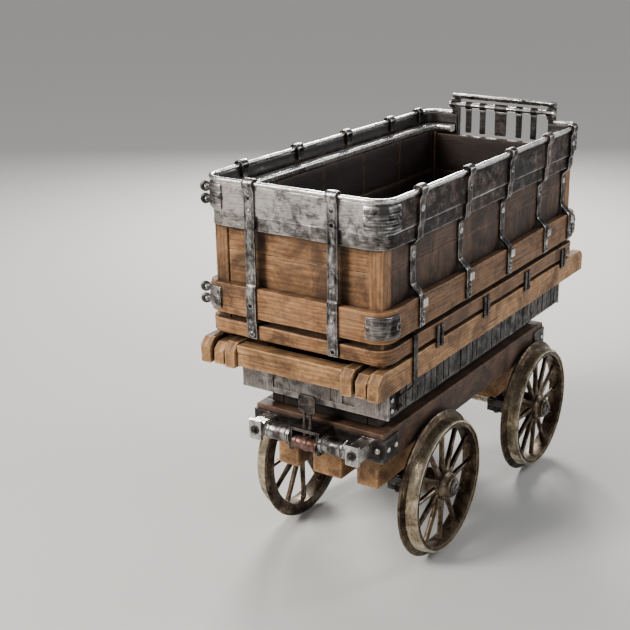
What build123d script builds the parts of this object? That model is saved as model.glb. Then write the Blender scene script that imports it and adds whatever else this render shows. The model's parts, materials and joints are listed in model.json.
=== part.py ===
"""Mine cart: a banded timber tub on a beam platform, a steel box and a spoked running gear.

Millimetres. X is across the track, Y runs along it with the coupling end at -Y, Z is up.
The origin lies on the ground plane under the middle of the cart, and the wheel flanges touch it.
"""

import os

from build123d import *

# ---------------------------------------------------------------- running gear
track_gauge = 610.0
flange_play = 8.0
flange_thickness = 18.0
tread_radius = 252.0
flange_height = 24.0
tread_width = 49.0
rim_depth = 30.0
spoke_count = 12
spoke_width = 20.0
spoke_thickness = 20.0
hub_radius = 50.0
hub_inner_length = 36.0
hub_outer_length = 16.0
axle_radius = 34.0
axle_seat_radius = 26.0
hub_cap_radius = 32.0
hub_cap_length = 10.0
hub_nut_radius = 20.0
hub_nut_length = 8.0
front_axle_y = -323.0
rear_axle_y = 509.0

# ---------------------------------------------------------------- axle bearings
running_clearance = 0.06
bush_wall = 9.0
bearing_length = 70.0
bearing_height = 78.0
bearing_ear = 17.0
housing_wall = 12.0
housing_foot = 26.0
keep_flange = 26.0
keep_wall = 14.88
bearing_bolt_radius = 8.0
bearing_nut_radius = 13.6
bolt_hole_clearance = 0.5
nut_clearance = 2.34

# ---------------------------------------------------------------- timber underframe
frame_length = 1328.0
frame_width = 532.0
frame_height = 112.0
sill_thickness = 50.0
headstock_thickness = 60.0
crossbar_thickness = 60.0
bearer_height = 132.0
side_bearer_width = 88.0
side_bearer_x = 168.0
centre_bearer_width = 124.0
front_bearer_start = -612.0
front_bearer_length = 412.0
rear_bearer_start = 330.0
rear_bearer_length = 322.0
headstock_plate_thickness = 6.0
headstock_plate_height = 84.0
headstock_plate_lift = 8.0
plate_return = 96.0
plate_bolt_radius = 11.0
plate_bolt_height = 8.0
plate_bolt_inset = 20.0
return_bolt_radius = 10.0
return_bolt_height = 6.0
return_bolt_back = 24.0
return_bolt_pitch = 50.0

# ---------------------------------------------------------------- bolsters and steel box
bolster_height = 71.0
bolster_width = 50.0
bolster_x = 201.0
bolster_length = 1244.0
box_width = 600.0
box_front_y = -694.0
box_rear_y = 744.0
box_height = 132.0
box_wall = 10.0
box_opening_half = 170.0
box_opening_height = 92.0
box_lip_depth = 18.0
inset_left_x = -166.0
inset_right_x = 66.0
inset_thickness = 6.0
inset_margin = 20.0
inset_proud = 5.0
latch_gap = 24.0
latch_width = 26.0
latch_proud = 7.0
batten_width = 26.0
batten_depth = 6.0
batten_pitch = 59.0
corner_batten_width = 52.0
box_bolt_radius = 9.0
box_bolt_inset = 26.0
box_bolt_lift = 28.0
box_bolt_pitch = 38.0

# ---------------------------------------------------------------- platform beams
beam_length = 1698.0
beam_height = 89.0
beam_width = 42.0
beam_gap = 9.0
middle_beam_drop = 12.0
beam_chamfer = 24.0
beam_slope_run = 19.2
middle_beam_short = 8.0
cross_beam_depth = 54.0
cross_beam_height = 76.0
cross_beam_drop = 6.0
cross_beam_inset = 14.0

# ---------------------------------------------------------------- timber tub
tub_width = 660.0
tub_length = 1502.0
tub_y = -26.0
floor_thickness = 35.0
floor_board_count = 7
board_gap = 0.8
post_size = 52.0
post_edge_radius = 10.0
wall_thickness = 30.0
wall_recess = 8.0
wall_height = 439.0
wall_seam_lift = 273.0
rear_wall_drop = 10.0
side_bay_count = 5
capping_width = 44.0
capping_height = 30.0
capping_corner_radius = 60.0
capping_stand = 2.0
capping_round = 8.0

# ---------------------------------------------------------------- bands round the tub
rail_stand = 26.0
rail_height = 53.0
rail_lift = 15.0
wood_band_stand = 30.0
wood_band_lift = 54.0
wood_band_height = 109.0
strip_stand = 18.0
strip_lift = 356.0
strip_height = 51.0
band_stand = 24.0
band_thickness = 8.0
band_height = 100.0
bead_overhang = 8.0
bead_inner_step = 2.0
bead_height = 16.0
bead_round = 6.0
band_corner_radius = 70.0
timber_corner_radius = 60.0

# ---------------------------------------------------------------- straps and fasteners
strap_width = 40.0
side_strap_width = 34.0
strap_thickness = 8.0
front_strap_x = 161.0
front_strap_inset = 190.0
fourth_strap_inset = 310.0
last_strap_clearance = 3.0
strap_hook = 30.0
strap_step = 13.0
strap_tuck = 24.0
strap_kick = 34.0
strap_foot_lift = 8.0
rivet_radius = 9.0
rivet_height = 5.0
clamp_size = 30.0
clamp_depth = 12.0
clamp_drop = 4.0
upper_plate_thickness = 6.0
upper_plate_reach = 6.0
upper_plate_margin = 9.0
lower_plate_thickness = 7.0
lower_plate_reach = 10.0
lower_plate_margin = 18.0
ring_bolt_angle = 30.0
ring_bolt_pitch = 42.0
ring_bolt_foot = 12.0
ring_bolt_radius = 13.0
ring_radius = 15.0
ring_wire_radius = 4.5
ring_seat = 7.0
clip_first_inset = 327.0
clip_last_inset = 105.0
clip_pair_count = 4
clip_half_gap = 15.0
clip_width = 16.0
clip_thickness = 8.0
clip_foot = 22.0
clip_head_drop = 10.0
iron_width = 24.0
iron_inset = 72.0
iron_hook = 16.0
iron_bend = 62.0
iron_bolt_radius = 10.0
bolt_head_height = 9.0

# ---------------------------------------------------------------- tail gate
gate_side_margin = 118.0
gate_post_width = 26.0
gate_post_depth = 24.0
gate_post_drop = 120.0
gate_rod_radius = 11.0
gate_rod_height = 44.0
gate_eye_wall = 5.0
slat_thickness = 11.0
slat_clearance = 6.0
slat_width = 26.0
middle_slat_width = 52.0
slat_side_margin = 62.0
slat_inner_share = 0.56
rod_collar_wall = 4.0
rod_collar_length = 8.0
rod_end_length = 10.0
head_rail_gap = 22.0
head_rail_height = 22.0
head_rail_depth = 30.0

# ---------------------------------------------------------------- coupling
bumper_y = -728.0
bumper_half_width = 226.0
bumper_radius = 30.0
end_plate_width = 50.0
end_plate_height = 72.0
end_plate_thickness = 14.0
end_plate_stand = 6.0
end_stay_inset = 12.0
bumper_collar_wall = 4.0
bumper_collar_length = 10.0
bumper_ring_radius = 17.0
bumper_ring_height = 4.0
bumper_bolt_radius = 11.0
bumper_bolt_height = 6.0
coupling_half = 62.0
coupling_cheek = 12.0
coupling_cover = 10.0
coupling_recess = 6.0
drum_radius = 26.0
drum_drop = 16.0
drum_pin_radius = 12.0
drum_side_play = 1.0
drum_groove = 3.0
drum_flange_length = 12.0
drum_set_forward = 4.0
drum_clearance = 3.0
pin_radius = 6.0
pin_spacing = 25.0
pin_plate_width = 66.0
pin_plate_height = 62.0
pin_plate_thickness = 10.0
pin_reach = 58.0
pin_collar_wall = 4.0
pin_collar_height = 6.0
pin_plate_chamfer = 5.0

# ---------------------------------------------------------------- values that follow
flange_radius = tread_radius + flange_height
axle_z = flange_radius
flange_outer_x = track_gauge / 2 - flange_play
flange_inner_x = flange_outer_x - flange_thickness
wheel_face_x = flange_outer_x + tread_width
hub_inner_x = flange_inner_x - hub_inner_length
hub_outer_x = wheel_face_x + hub_outer_length
rim_inner_radius = tread_radius - rim_depth
spoke_x = (flange_inner_x + wheel_face_x) / 2
bush_bore = axle_radius + running_clearance
bush_radius = bush_bore + bush_wall
bearing_bolt_offset = bush_radius + housing_wall + bearing_nut_radius + nut_clearance
bearing_half_width = bearing_bolt_offset + bearing_ear
keep_radius = bush_radius + running_clearance + keep_wall
bearer_bottom = axle_z + bearing_height
frame_bottom = bearer_bottom + bearer_height
frame_top = frame_bottom + frame_height
frame_half = frame_length / 2
sill_half = frame_half - headstock_thickness
sill_inner_x = frame_width / 2 - sill_thickness
box_bottom = frame_top + bolster_height
box_top = box_bottom + box_height
box_length = box_rear_y - box_front_y
box_mid_y = (box_front_y + box_rear_y) / 2
beam_bottom = box_top
beam_top = beam_bottom + beam_height
beam_pitch = beam_width + beam_gap
tub_half_x = tub_width / 2
gate_half_width = tub_half_x - gate_side_margin
slat_outer_x = gate_half_width - slat_side_margin
slat_inner_x = slat_outer_x * slat_inner_share
tub_half_y = tub_length / 2
tub_front_y = tub_y - tub_half_y
tub_rear_y = tub_y + tub_half_y
beam_outer_x = tub_half_x + rail_stand
inner_beam_x = beam_outer_x - beam_width / 2 - 2 * beam_pitch
cross_beam_half = inner_beam_x - beam_width / 2 - beam_gap
floor_top = beam_top + floor_thickness
wall_top = floor_top + wall_height
wall_seam = floor_top + wall_seam_lift
rear_wall_top = wall_top - rear_wall_drop
wall_face_x = tub_half_x - wall_recess
wall_face_y = tub_half_y - wall_recess
rail_bottom = beam_top + rail_lift
wood_band_bottom = floor_top + wood_band_lift
strip_bottom = floor_top + strip_lift
band_bottom = strip_bottom + strip_height
bead_bottom = band_bottom + band_height
rim_top = bead_bottom + bead_height
band_inner_stand = band_stand - band_thickness
bead_stand = band_stand + bead_overhang
bead_width = bead_overhang + band_thickness + bead_inner_step
wood_band_top = wood_band_bottom + wood_band_height
first_strap_y = tub_front_y + front_strap_inset
fourth_strap_y = tub_rear_y - fourth_strap_inset
band_straight_end_y = tub_rear_y + band_stand - band_corner_radius
last_strap_y = (band_straight_end_y - upper_plate_reach - last_strap_clearance
                - side_strap_width / 2)
gate_rod_z = rim_top + gate_rod_height - bead_height
gate_rod_y = tub_rear_y + band_inner_stand - slat_thickness / 2
gate_post_y = tub_rear_y + band_stand
gate_post_inner_x = gate_half_width - 4.0
gate_post_outer_x = gate_post_inner_x + gate_post_width
head_rail_bottom = gate_rod_z + head_rail_gap
bumper_z = frame_bottom + frame_height / 2 + 3.0
drum_y = bumper_y - drum_set_forward
drum_z = bumper_z - drum_drop
coupling_top = bumper_z + bumper_radius + bumper_collar_wall
headstock_face_y = -frame_half - headstock_plate_thickness


def save(builder, name):
    """Label a finished sub-part and write it as its own STEP file."""
    builder.part.label = name
    export_step(builder.part, f"parts/{name}.step")


def block(x_range, y_range, z_range, mode=Mode.ADD):
    """A plain rectangular piece between two limits on each axis."""
    size = [limits[1] - limits[0] for limits in (x_range, y_range, z_range)]
    middle = [(limits[0] + limits[1]) / 2 for limits in (x_range, y_range, z_range)]
    with Locations(tuple(middle)):
        Box(*size, mode=mode)


def ring(outer_stand, inner_stand, outer_radius, inner_radius, bottom, height):
    """A closed band round the tub; stands are measured out from the corner posts."""
    with BuildSketch(Plane.XY.offset(bottom)) as outline:
        with Locations((0, tub_y)):
            width = tub_width + 2 * outer_stand
            length = tub_length + 2 * outer_stand
            RectangleRounded(width, length, outer_radius)
            hole_width = tub_width + 2 * inner_stand
            hole_length = tub_length + 2 * inner_stand
            RectangleRounded(hole_width, hole_length, inner_radius, mode=Mode.SUBTRACT)
    extrude(outline.sketch, amount=height)


def gate_gap(half_width, bottom, height):
    """Cut the rear run of a band at the gate."""
    rear = tub_rear_y
    block((-half_width, half_width), (rear - 80, rear + 80), (bottom, bottom + height),
          Mode.SUBTRACT)


# ================================================================ running gear
def make_wheel(side):
    """Flanged spoked wheel; side is +1 on the right and -1 on the left."""
    with BuildPart() as wheel:
        with BuildSketch(Plane.XZ):
            with BuildLine():
                Polyline(
                    (flange_inner_x, rim_inner_radius),
                    (flange_inner_x, flange_radius - 6),
                    (flange_inner_x + 6, flange_radius),
                    (flange_outer_x - 6, flange_radius),
                    (flange_outer_x, tread_radius + 8),
                    (flange_outer_x + 8, tread_radius),
                    (wheel_face_x - 3, tread_radius - 2),
                    (wheel_face_x, tread_radius - 5),
                    (wheel_face_x, rim_inner_radius),
                    close=True,
                )
            make_face()
            with BuildLine():
                Polyline(
                    (hub_inner_x, axle_seat_radius),
                    (hub_inner_x, hub_radius - 4),
                    (hub_inner_x + 4, hub_radius),
                    (wheel_face_x, hub_radius),
                    (hub_outer_x, hub_radius - 12),
                    (hub_outer_x, axle_seat_radius),
                    close=True,
                )
            make_face()
        revolve(axis=Axis.X)
        with BuildSketch(Plane.YZ.offset(spoke_x - spoke_thickness / 2)):
            with PolarLocations(0, spoke_count):
                with Locations(((hub_radius + rim_inner_radius) / 2, 0)):
                    Rectangle(rim_inner_radius - hub_radius + 16, spoke_width)
        extrude(amount=spoke_thickness)
    placed = wheel.part if side > 0 else mirror(wheel.part, about=Plane.YZ)
    return placed


def place_wheel(side, y):
    """A wheel at its place on the axle line."""
    shape = make_wheel(side)
    with BuildPart() as placed:
        with Locations((0, y, axle_z)):
            add(shape)
    return placed


def make_axle(y):
    """Round axle with a turned-down seat for each wheel."""
    seat_length = hub_outer_x - hub_inner_x
    with BuildPart() as axle:
        with BuildSketch(Plane.YZ.offset(-hub_inner_x)):
            with Locations((y, axle_z)):
                Circle(axle_radius)
        extrude(amount=2 * hub_inner_x)
        for start in (-hub_outer_x, hub_inner_x):
            with BuildSketch(Plane.YZ.offset(start)):
                with Locations((y, axle_z)):
                    Circle(axle_seat_radius)
            extrude(amount=seat_length)
    return axle


def make_hub_caps(y):
    """A stepped round cap over each wheel hub, with a square nut."""
    with BuildPart() as caps:
        for side in (-1, 1):
            face = Plane((side * hub_outer_x, y, axle_z), z_dir=(side, 0, 0))
            with BuildSketch(face):
                Circle(hub_cap_radius)
            extrude(amount=hub_cap_length)
            with BuildSketch(face.offset(hub_cap_length)):
                RegularPolygon(hub_nut_radius, 6)
            extrude(amount=hub_nut_length)
    return caps


# ================================================================ bearings
def bearing_places():
    """Every bearing centre, as (x, y)."""
    return [(x, y) for y in (front_axle_y, rear_axle_y) for x in (-side_bearer_x, side_bearer_x)]


def make_bearing_housings():
    """Upper half of each bearing, standing up to the underside of the bearer."""
    with BuildPart() as housings:
        for x, y in bearing_places():
            x_range = (x - bearing_length / 2, x + bearing_length / 2)
            block(x_range, (y - bearing_half_width, y + bearing_half_width),
                  (axle_z, axle_z + housing_foot))
            half = bush_radius + housing_wall
            block(x_range, (y - half, y + half), (axle_z, bearer_bottom))
            with Locations(Location((x, y, axle_z), (0, 90, 0))):
                Cylinder(bush_radius + running_clearance, bearing_length, mode=Mode.SUBTRACT)
            for offset in (-bearing_bolt_offset, bearing_bolt_offset):
                with Locations((x, y + offset, axle_z + housing_foot / 2)):
                    Cylinder(bearing_bolt_radius + bolt_hole_clearance, housing_foot,
                             mode=Mode.SUBTRACT)
    return housings


def make_bearing_keeps():
    """Lower half of each bearing, a bolted keep under the axle."""
    with BuildPart() as keeps:
        for x, y in bearing_places():
            with BuildSketch(Plane.YZ.offset(x - bearing_length / 2)):
                with Locations((y, axle_z)):
                    Circle(keep_radius)
                with Locations((y, axle_z + keep_radius / 2)):
                    Rectangle(2 * keep_radius, keep_radius, mode=Mode.SUBTRACT)
                with Locations((y, axle_z - keep_flange / 2)):
                    Rectangle(2 * bearing_half_width, keep_flange)
                with Locations((y, axle_z)):
                    Circle(bush_radius + running_clearance, mode=Mode.SUBTRACT)
            extrude(amount=bearing_length)
            for offset in (-bearing_bolt_offset, bearing_bolt_offset):
                with Locations((x, y + offset, axle_z - keep_flange / 2)):
                    Cylinder(bearing_bolt_radius + bolt_hole_clearance, keep_flange,
                             mode=Mode.SUBTRACT)
    return keeps


def make_bearing_bushes():
    """Bronze bushes between the axles and their housings."""
    with BuildPart() as bushes:
        for x, y in bearing_places():
            with BuildSketch(Plane.YZ.offset(x - bearing_length / 2)):
                with Locations((y, axle_z)):
                    Circle(bush_radius)
                    Circle(bush_bore, mode=Mode.SUBTRACT)
            extrude(amount=bearing_length)
    return bushes


def make_bearing_bolts():
    """Hex bolts, head down, that clamp each keep to its housing, with a nut on top."""
    with BuildPart() as bolts:
        for x, y in bearing_places():
            for offset in (-bearing_bolt_offset, bearing_bolt_offset):
                place = (x, y + offset)
                head_bottom = axle_z - keep_flange - bolt_head_height
                with BuildSketch(Plane.XY.offset(head_bottom)):
                    with Locations(place):
                        RegularPolygon(bearing_nut_radius, 6)
                extrude(amount=bolt_head_height)
                with BuildSketch(Plane.XY.offset(axle_z - keep_flange)):
                    with Locations(place):
                        Circle(bearing_bolt_radius)
                extrude(amount=keep_flange + housing_foot)
                with BuildSketch(Plane.XY.offset(axle_z + housing_foot)):
                    with Locations(place):
                        RegularPolygon(bearing_nut_radius, 6)
                extrude(amount=bolt_head_height)
    return bolts


# ================================================================ timber underframe
def make_sills():
    """Long side timbers of the underframe."""
    with BuildPart() as sills:
        for side in (-1, 1):
            inner = side * sill_inner_x
            outer = side * frame_width / 2
            block((min(inner, outer), max(inner, outer)), (-sill_half, sill_half),
                  (frame_bottom, frame_top))
        chamfer(sills.edges().filter_by(Axis.Y), 2)
    return sills


def make_headstock(side):
    """End timber of the underframe across the full width."""
    near = side * sill_half
    far = side * frame_half
    with BuildPart() as headstock:
        block((-frame_width / 2, frame_width / 2), (min(near, far), max(near, far)),
              (frame_bottom, frame_top))
        chamfer(headstock.edges().filter_by(Axis.X), 2)
    return headstock


def crossbar_places():
    """Middle of each cross timber along the cart."""
    inset = crossbar_thickness
    return (
        front_bearer_start + inset,
        front_bearer_start + front_bearer_length - inset,
        (front_axle_y + rear_axle_y) / 2,
        rear_bearer_start + inset,
        rear_bearer_start + rear_bearer_length - inset * 1.4,
    )


def make_crossbars():
    """Timbers between the sills that carry the bolsters and hold the bearers."""
    with BuildPart() as crossbars:
        for y in crossbar_places():
            half = crossbar_thickness / 2
            block((-sill_inner_x, sill_inner_x), (y - half, y + half), (frame_bottom, frame_top))
    return crossbars


def make_bearers():
    """Short timbers under the frame, three over each axle, that carry the bearings."""
    with BuildPart() as bearers:
        for start, length in (
            (front_bearer_start, front_bearer_length),
            (rear_bearer_start, rear_bearer_length),
        ):
            for x, width in (
                (-side_bearer_x, side_bearer_width),
                (0, centre_bearer_width),
                (side_bearer_x, side_bearer_width),
            ):
                block((x - width / 2, x + width / 2), (start, start + length),
                      (bearer_bottom, frame_bottom))
        chamfer(bearers.edges().filter_by(Axis.Z), 3)
    return bearers


def make_headstock_plates():
    """Flat steel facing on each headstock, returned round the corners."""
    half = frame_width / 2
    outer = half + headstock_plate_thickness
    bottom = frame_bottom + headstock_plate_lift
    top = bottom + headstock_plate_height
    with BuildPart() as plates:
        for side in (-1, 1):
            face = side * frame_half
            front = side * (frame_half + headstock_plate_thickness)
            back = side * (frame_half - plate_return)
            block((-outer, outer), (min(face, front), max(face, front)), (bottom, top))
            for hand in (-1, 1):
                x_range = (min(hand * half, hand * outer), max(hand * half, hand * outer))
                block(x_range, (min(back, front), max(back, front)), (bottom, top))
        fillet(plates.edges().filter_by(Axis.Z).group_by(Axis.X)[0], 4)
        fillet(plates.edges().filter_by(Axis.Z).group_by(Axis.X)[-1], 4)
    return plates


def domed_bolt(plane, radius, height):
    """A low domed head standing on a plane."""
    with BuildSketch(plane) as foot:
        Circle(radius)
    extrude(foot.sketch, amount=height * 0.6, taper=8)
    with BuildSketch(plane.offset(height * 0.6)) as crown:
        Circle(radius * 0.72)
    extrude(crown.sketch, amount=height * 0.4, taper=30)


def make_frame_bolts():
    """Domed bolt heads on the headstock plates and on the corners of the steel box."""
    plate_mid = frame_bottom + headstock_plate_lift + headstock_plate_height / 2
    side_x = frame_width / 2 + headstock_plate_thickness
    bolt_x = frame_width / 2 - plate_bolt_inset
    backs = (return_bolt_back, return_bolt_back + return_bolt_pitch)
    with BuildPart() as bolts:
        for x in (-bolt_x, bolt_x):
            front = Plane((x, headstock_face_y, plate_mid), z_dir=(0, -1, 0))
            domed_bolt(front, plate_bolt_radius, plate_bolt_height)
        for hand in (-1, 1):
            for y in (-frame_half + backs[0], -frame_half + backs[1], frame_half - backs[0]):
                plane = Plane((hand * side_x, y, plate_mid), z_dir=(hand, 0, 0))
                domed_bolt(plane, return_bolt_radius, return_bolt_height)
            for step in range(3):
                z = box_bottom + box_bolt_lift + step * box_bolt_pitch
                origin = (hand * box_width / 2, box_front_y + box_bolt_inset, z)
                domed_bolt(Plane(origin, z_dir=(hand, 0, 0)), box_bolt_radius,
                           return_bolt_height)
    return bolts


# ================================================================ bolsters and steel box
def make_bolsters():
    """Dark packing timbers between the underframe and the steel box."""
    half = bolster_length / 2
    inner = bolster_x - bolster_width / 2
    with BuildPart() as bolsters:
        for side in (-1, 1):
            near = side * inner
            far = side * (inner + bolster_width)
            block((min(near, far), max(near, far)), (-half, half), (frame_top, box_bottom))
            end_far = side * half
            end_near = side * (half - bolster_width)
            block((-inner + board_gap, inner - board_gap),
                  (min(end_near, end_far), max(end_near, end_far)), (frame_top, box_bottom))
    return bolsters


def make_box_front():
    """Front plate of the steel box, open in the middle under a lip."""
    half = box_width / 2
    with BuildPart() as plate:
        block((-half, half), (box_front_y, box_front_y + box_wall), (box_bottom, box_top))
        opening_bottom = box_top - box_lip_depth - box_opening_height
        block((-box_opening_half, box_opening_half), (box_front_y, box_front_y + box_wall),
              (opening_bottom, box_top - box_lip_depth), Mode.SUBTRACT)
        chamfer(plate.faces().sort_by(Axis.Y)[0].outer_wire().edges(), 2)
    return plate


def make_box_inset():
    """Inset panel behind the opening, with a folded lip along its top."""
    opening_bottom = box_top - box_lip_depth - box_opening_height
    back = box_front_y + box_wall
    with BuildPart() as inset:
        half = box_opening_half + inset_margin
        block((-half, half), (back, back + inset_thickness),
              (opening_bottom - inset_margin / 2, box_top - box_lip_depth / 2))
        block((inset_left_x, inset_right_x), (back - inset_proud, back),
              (opening_bottom, box_top - box_lip_depth - inset_margin))
        latch_x = inset_right_x + latch_gap
        block((latch_x, latch_x + latch_width), (back - latch_proud, back),
              (opening_bottom, box_top - box_lip_depth - inset_margin / 2))
    return inset


def make_box_sides():
    """Side plates of the steel box with upright battens along them."""
    half = box_width / 2
    count = int((box_length - 140) // batten_pitch)
    first = box_mid_y - (count - 1) * batten_pitch / 2
    with BuildPart() as sides:
        for side in (-1, 1):
            inner = side * (half - box_wall)
            outer = side * (half - batten_depth)
            face = side * half
            y_range = (box_front_y + box_wall, box_rear_y - box_wall)
            block((min(inner, outer), max(inner, outer)), y_range, (box_bottom, box_top))
            for step in range(count):
                y = first + step * batten_pitch
                block((min(outer, face), max(outer, face)),
                      (y - batten_width / 2, y + batten_width / 2), (box_bottom + 6, box_top - 6))
            for end in (y_range[0], y_range[1] - corner_batten_width):
                block((min(outer, face), max(outer, face)), (end, end + corner_batten_width),
                      (box_bottom, box_top))
    return sides


def make_box_rear():
    """Rear plate of the steel box."""
    half = box_width / 2
    with BuildPart() as plate:
        block((-half, half), (box_rear_y - box_wall, box_rear_y), (box_bottom, box_top))
        chamfer(plate.faces().sort_by(Axis.Y)[-1].outer_wire().edges(), 2)
    return plate


def make_box_floor():
    """Bottom plate of the steel box, resting on the bolsters."""
    half = box_width / 2 - box_wall
    with BuildPart() as plate:
        front = box_front_y + box_wall + inset_thickness
        block((-half, half), (front, box_rear_y - box_wall), (box_bottom, box_bottom + box_wall))
    return plate


# ================================================================ platform
def beam(x, drop, length):
    """One long platform timber with sloped upper ends."""
    top = beam_top - drop
    half = length / 2
    with BuildSketch(Plane.YZ.offset(x - beam_width / 2)) as side_view:
        with BuildLine():
            Polyline(
                (-half, beam_bottom),
                (-half, top - beam_chamfer),
                (-half + beam_slope_run, top),
                (half - beam_slope_run, top),
                (half, top - beam_chamfer),
                (half, beam_bottom),
                close=True,
            )
        make_face()
    extrude(side_view.sketch, amount=beam_width)


def make_outer_beam(side):
    """Outermost platform timber on one side."""
    with BuildPart() as outer:
        beam(side * (beam_outer_x - beam_width / 2), 0, beam_length)
    return outer


def make_inner_beams():
    """Second and third platform timbers on both sides; the second one is set lower."""
    with BuildPart() as inner:
        for side in (-1, 1):
            middle_x = beam_outer_x - beam_width / 2 - beam_pitch
            beam(side * middle_x, middle_beam_drop, beam_length - 2 * middle_beam_short)
            beam(side * inner_beam_x, 0, beam_length)
    return inner


def make_cross_beams():
    """Timbers across the front and rear ends between the inner platform beams."""
    top = beam_top - cross_beam_drop
    inset = cross_beam_inset
    with BuildPart() as crosses:
        for side in (-1, 1):
            outer = side * (beam_length / 2 - inset)
            inner = side * (beam_length / 2 - inset - cross_beam_depth)
            block((-cross_beam_half - beam_gap, cross_beam_half + beam_gap),
                  (min(inner, outer), max(inner, outer)), (top - cross_beam_height, top))
        chamfer(crosses.edges().filter_by(Axis.X), 4)
    return crosses


# ================================================================ timber tub
def make_floor_boards():
    """Lengthwise floor boards between the tub walls, laid across the platform beams."""
    half_x = wall_face_x - wall_thickness - board_gap
    half_y = wall_face_y - wall_thickness - board_gap
    pitch = 2 * half_x / floor_board_count
    notch_x = tub_half_x - post_size - board_gap
    notch_y = tub_half_y - post_size - board_gap
    with BuildPart() as boards:
        for index in range(floor_board_count):
            start = -half_x + index * pitch
            block((start + board_gap / 2, start + pitch - board_gap / 2),
                  (tub_y - half_y, tub_y + half_y), (beam_top, floor_top))
        for x in (-1, 1):
            for y in (-1, 1):
                xs = sorted((x * notch_x, x * tub_half_x))
                ys = sorted((tub_y + y * notch_y, tub_y + y * tub_half_y))
                block(xs, ys, (beam_top, floor_top), Mode.SUBTRACT)
    return boards


def make_corner_posts():
    """Square posts at the four corners of the tub."""
    with BuildPart() as posts:
        with BuildSketch(Plane.XY.offset(beam_top)):
            for x in (-1, 1):
                for y in (-1, 1):
                    place = (x * (tub_half_x - post_size / 2),
                             tub_y + y * (tub_half_y - post_size / 2))
                    with Locations(place):
                        Rectangle(post_size, post_size)
        extrude(amount=wall_top - beam_top)
        fillet(posts.edges().filter_by(Axis.Z), post_edge_radius)
    return posts


def board_rows(top):
    """Height limits of the lower and upper row of wall boards."""
    return ((beam_top, wall_seam - board_gap / 2), (wall_seam + board_gap / 2, top))


def make_end_wall(side, top):
    """Two wide boards between the posts at one end of the tub."""
    half = tub_half_x - post_size
    outer = tub_y + side * wall_face_y
    inner = tub_y + side * (wall_face_y - wall_thickness)
    with BuildPart() as wall:
        for rows in board_rows(top):
            block((-half, half), (min(inner, outer), max(inner, outer)), rows)
    return wall


def make_side_wall(side):
    """Two rows of boards between the posts along one side of the tub."""
    outer = side * wall_face_x
    inner = side * (wall_face_x - wall_thickness)
    run = tub_length - 2 * post_size
    pitch = run / side_bay_count
    start = tub_y - run / 2
    with BuildPart() as wall:
        for index in range(side_bay_count):
            near = start + index * pitch + (board_gap / 2 if index else 0)
            last = index == side_bay_count - 1
            far = start + (index + 1) * pitch - (0 if last else board_gap / 2)
            for rows in board_rows(wall_top):
                block((min(inner, outer), max(inner, outer)), (near, far), rows)
    return wall


def make_wall_capping():
    """Rounded steel capping along the top of the tub walls, open at the gate."""
    inner_stand = capping_stand - capping_width
    with BuildPart() as capping:
        ring(capping_stand, inner_stand, capping_corner_radius,
             capping_corner_radius - capping_width / 2, wall_top, capping_height)
        gate_gap(gate_half_width, wall_top, capping_height)
        top_edges = capping.faces().sort_by(Axis.Z)[-1].edges().filter_by(Axis.Y)
        fillet(top_edges.group_by(SortBy.LENGTH)[-1], capping_round)
    return capping


# ================================================================ bands
def make_base_rail():
    """Bent timber rail round the foot of the tub."""
    with BuildPart() as rail:
        ring(rail_stand, 0, timber_corner_radius, post_edge_radius, rail_bottom, rail_height)
        fillet(rail.faces().sort_by(Axis.Z)[-1].outer_wire().edges(), 5)
    return rail


def make_wood_band():
    """Bent timber belt low on the tub."""
    with BuildPart() as belt:
        ring(wood_band_stand, 0, timber_corner_radius, post_edge_radius, wood_band_bottom,
             wood_band_height)
        fillet(belt.faces().sort_by(Axis.Z)[-1].outer_wire().edges(), 4)
    return belt


def make_strip_band():
    """Narrow steel band directly under the main band."""
    with BuildPart() as strip:
        ring(strip_stand, 0, timber_corner_radius, post_edge_radius, strip_bottom, strip_height)
    return strip


def make_upper_band():
    """Wide steel band round the top of the tub, open at the gate."""
    inner_radius = band_corner_radius - band_thickness
    with BuildPart() as band:
        ring(band_stand, band_inner_stand, band_corner_radius, inner_radius, band_bottom,
             band_height)
        gate_gap(gate_half_width, band_bottom, band_height)
    return band


def make_rim_bead():
    """Rounded bead on the upper edge of the main band, open at the gate."""
    outer_radius = band_corner_radius + bead_overhang
    with BuildPart() as bead:
        ring(bead_stand, bead_stand - bead_width, outer_radius, outer_radius - bead_width,
             bead_bottom, bead_height)
        gate_gap(gate_post_outer_x + 1, bead_bottom, bead_height)
        flats = bead.faces().filter_by(Axis.Z)
        long_edges = flats.edges().filter_by(lambda edge: edge.length > bead_width + 1)
        fillet(long_edges, bead_round)
    return bead


# ================================================================ straps
def strap_outline(points):
    """Both faces of a bent strap of even thickness, as one closed list of points."""
    lines = [Vector(*end) - Vector(*start) for start, end in zip(points, points[1:])]
    normals = [Vector(-line.Y, line.X).normalized() for line in lines]
    outer = []
    for index, point in enumerate(points):
        before = normals[max(index - 1, 0)]
        after = normals[min(index, len(normals) - 1)]
        mean = (before + after).normalized()
        outer.append(Vector(*point) + mean * (strap_thickness / mean.dot(before)))
    return [Vector(*point) for point in points] + outer[::-1]


def strap_path(outline, bottom):
    """Inner line of a strap as (distance out, height), from inside the rim to its foot."""
    inside = outline + bead_stand - bead_width
    bead_out = outline + bead_stand
    band_out = outline + band_stand
    return [
        (inside, bead_bottom - strap_hook),
        (inside, rim_top),
        (bead_out, rim_top),
        (bead_out, bead_bottom - 2),
        (band_out, bead_bottom - strap_step),
    ] + bottom


def side_strap_places():
    """Middle of each side strap along the cart: four at an even pitch and one at the rear."""
    pitch = (fourth_strap_y - first_strap_y) / 3
    return [first_strap_y + step * pitch for step in range(4)] + [last_strap_y]


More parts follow.
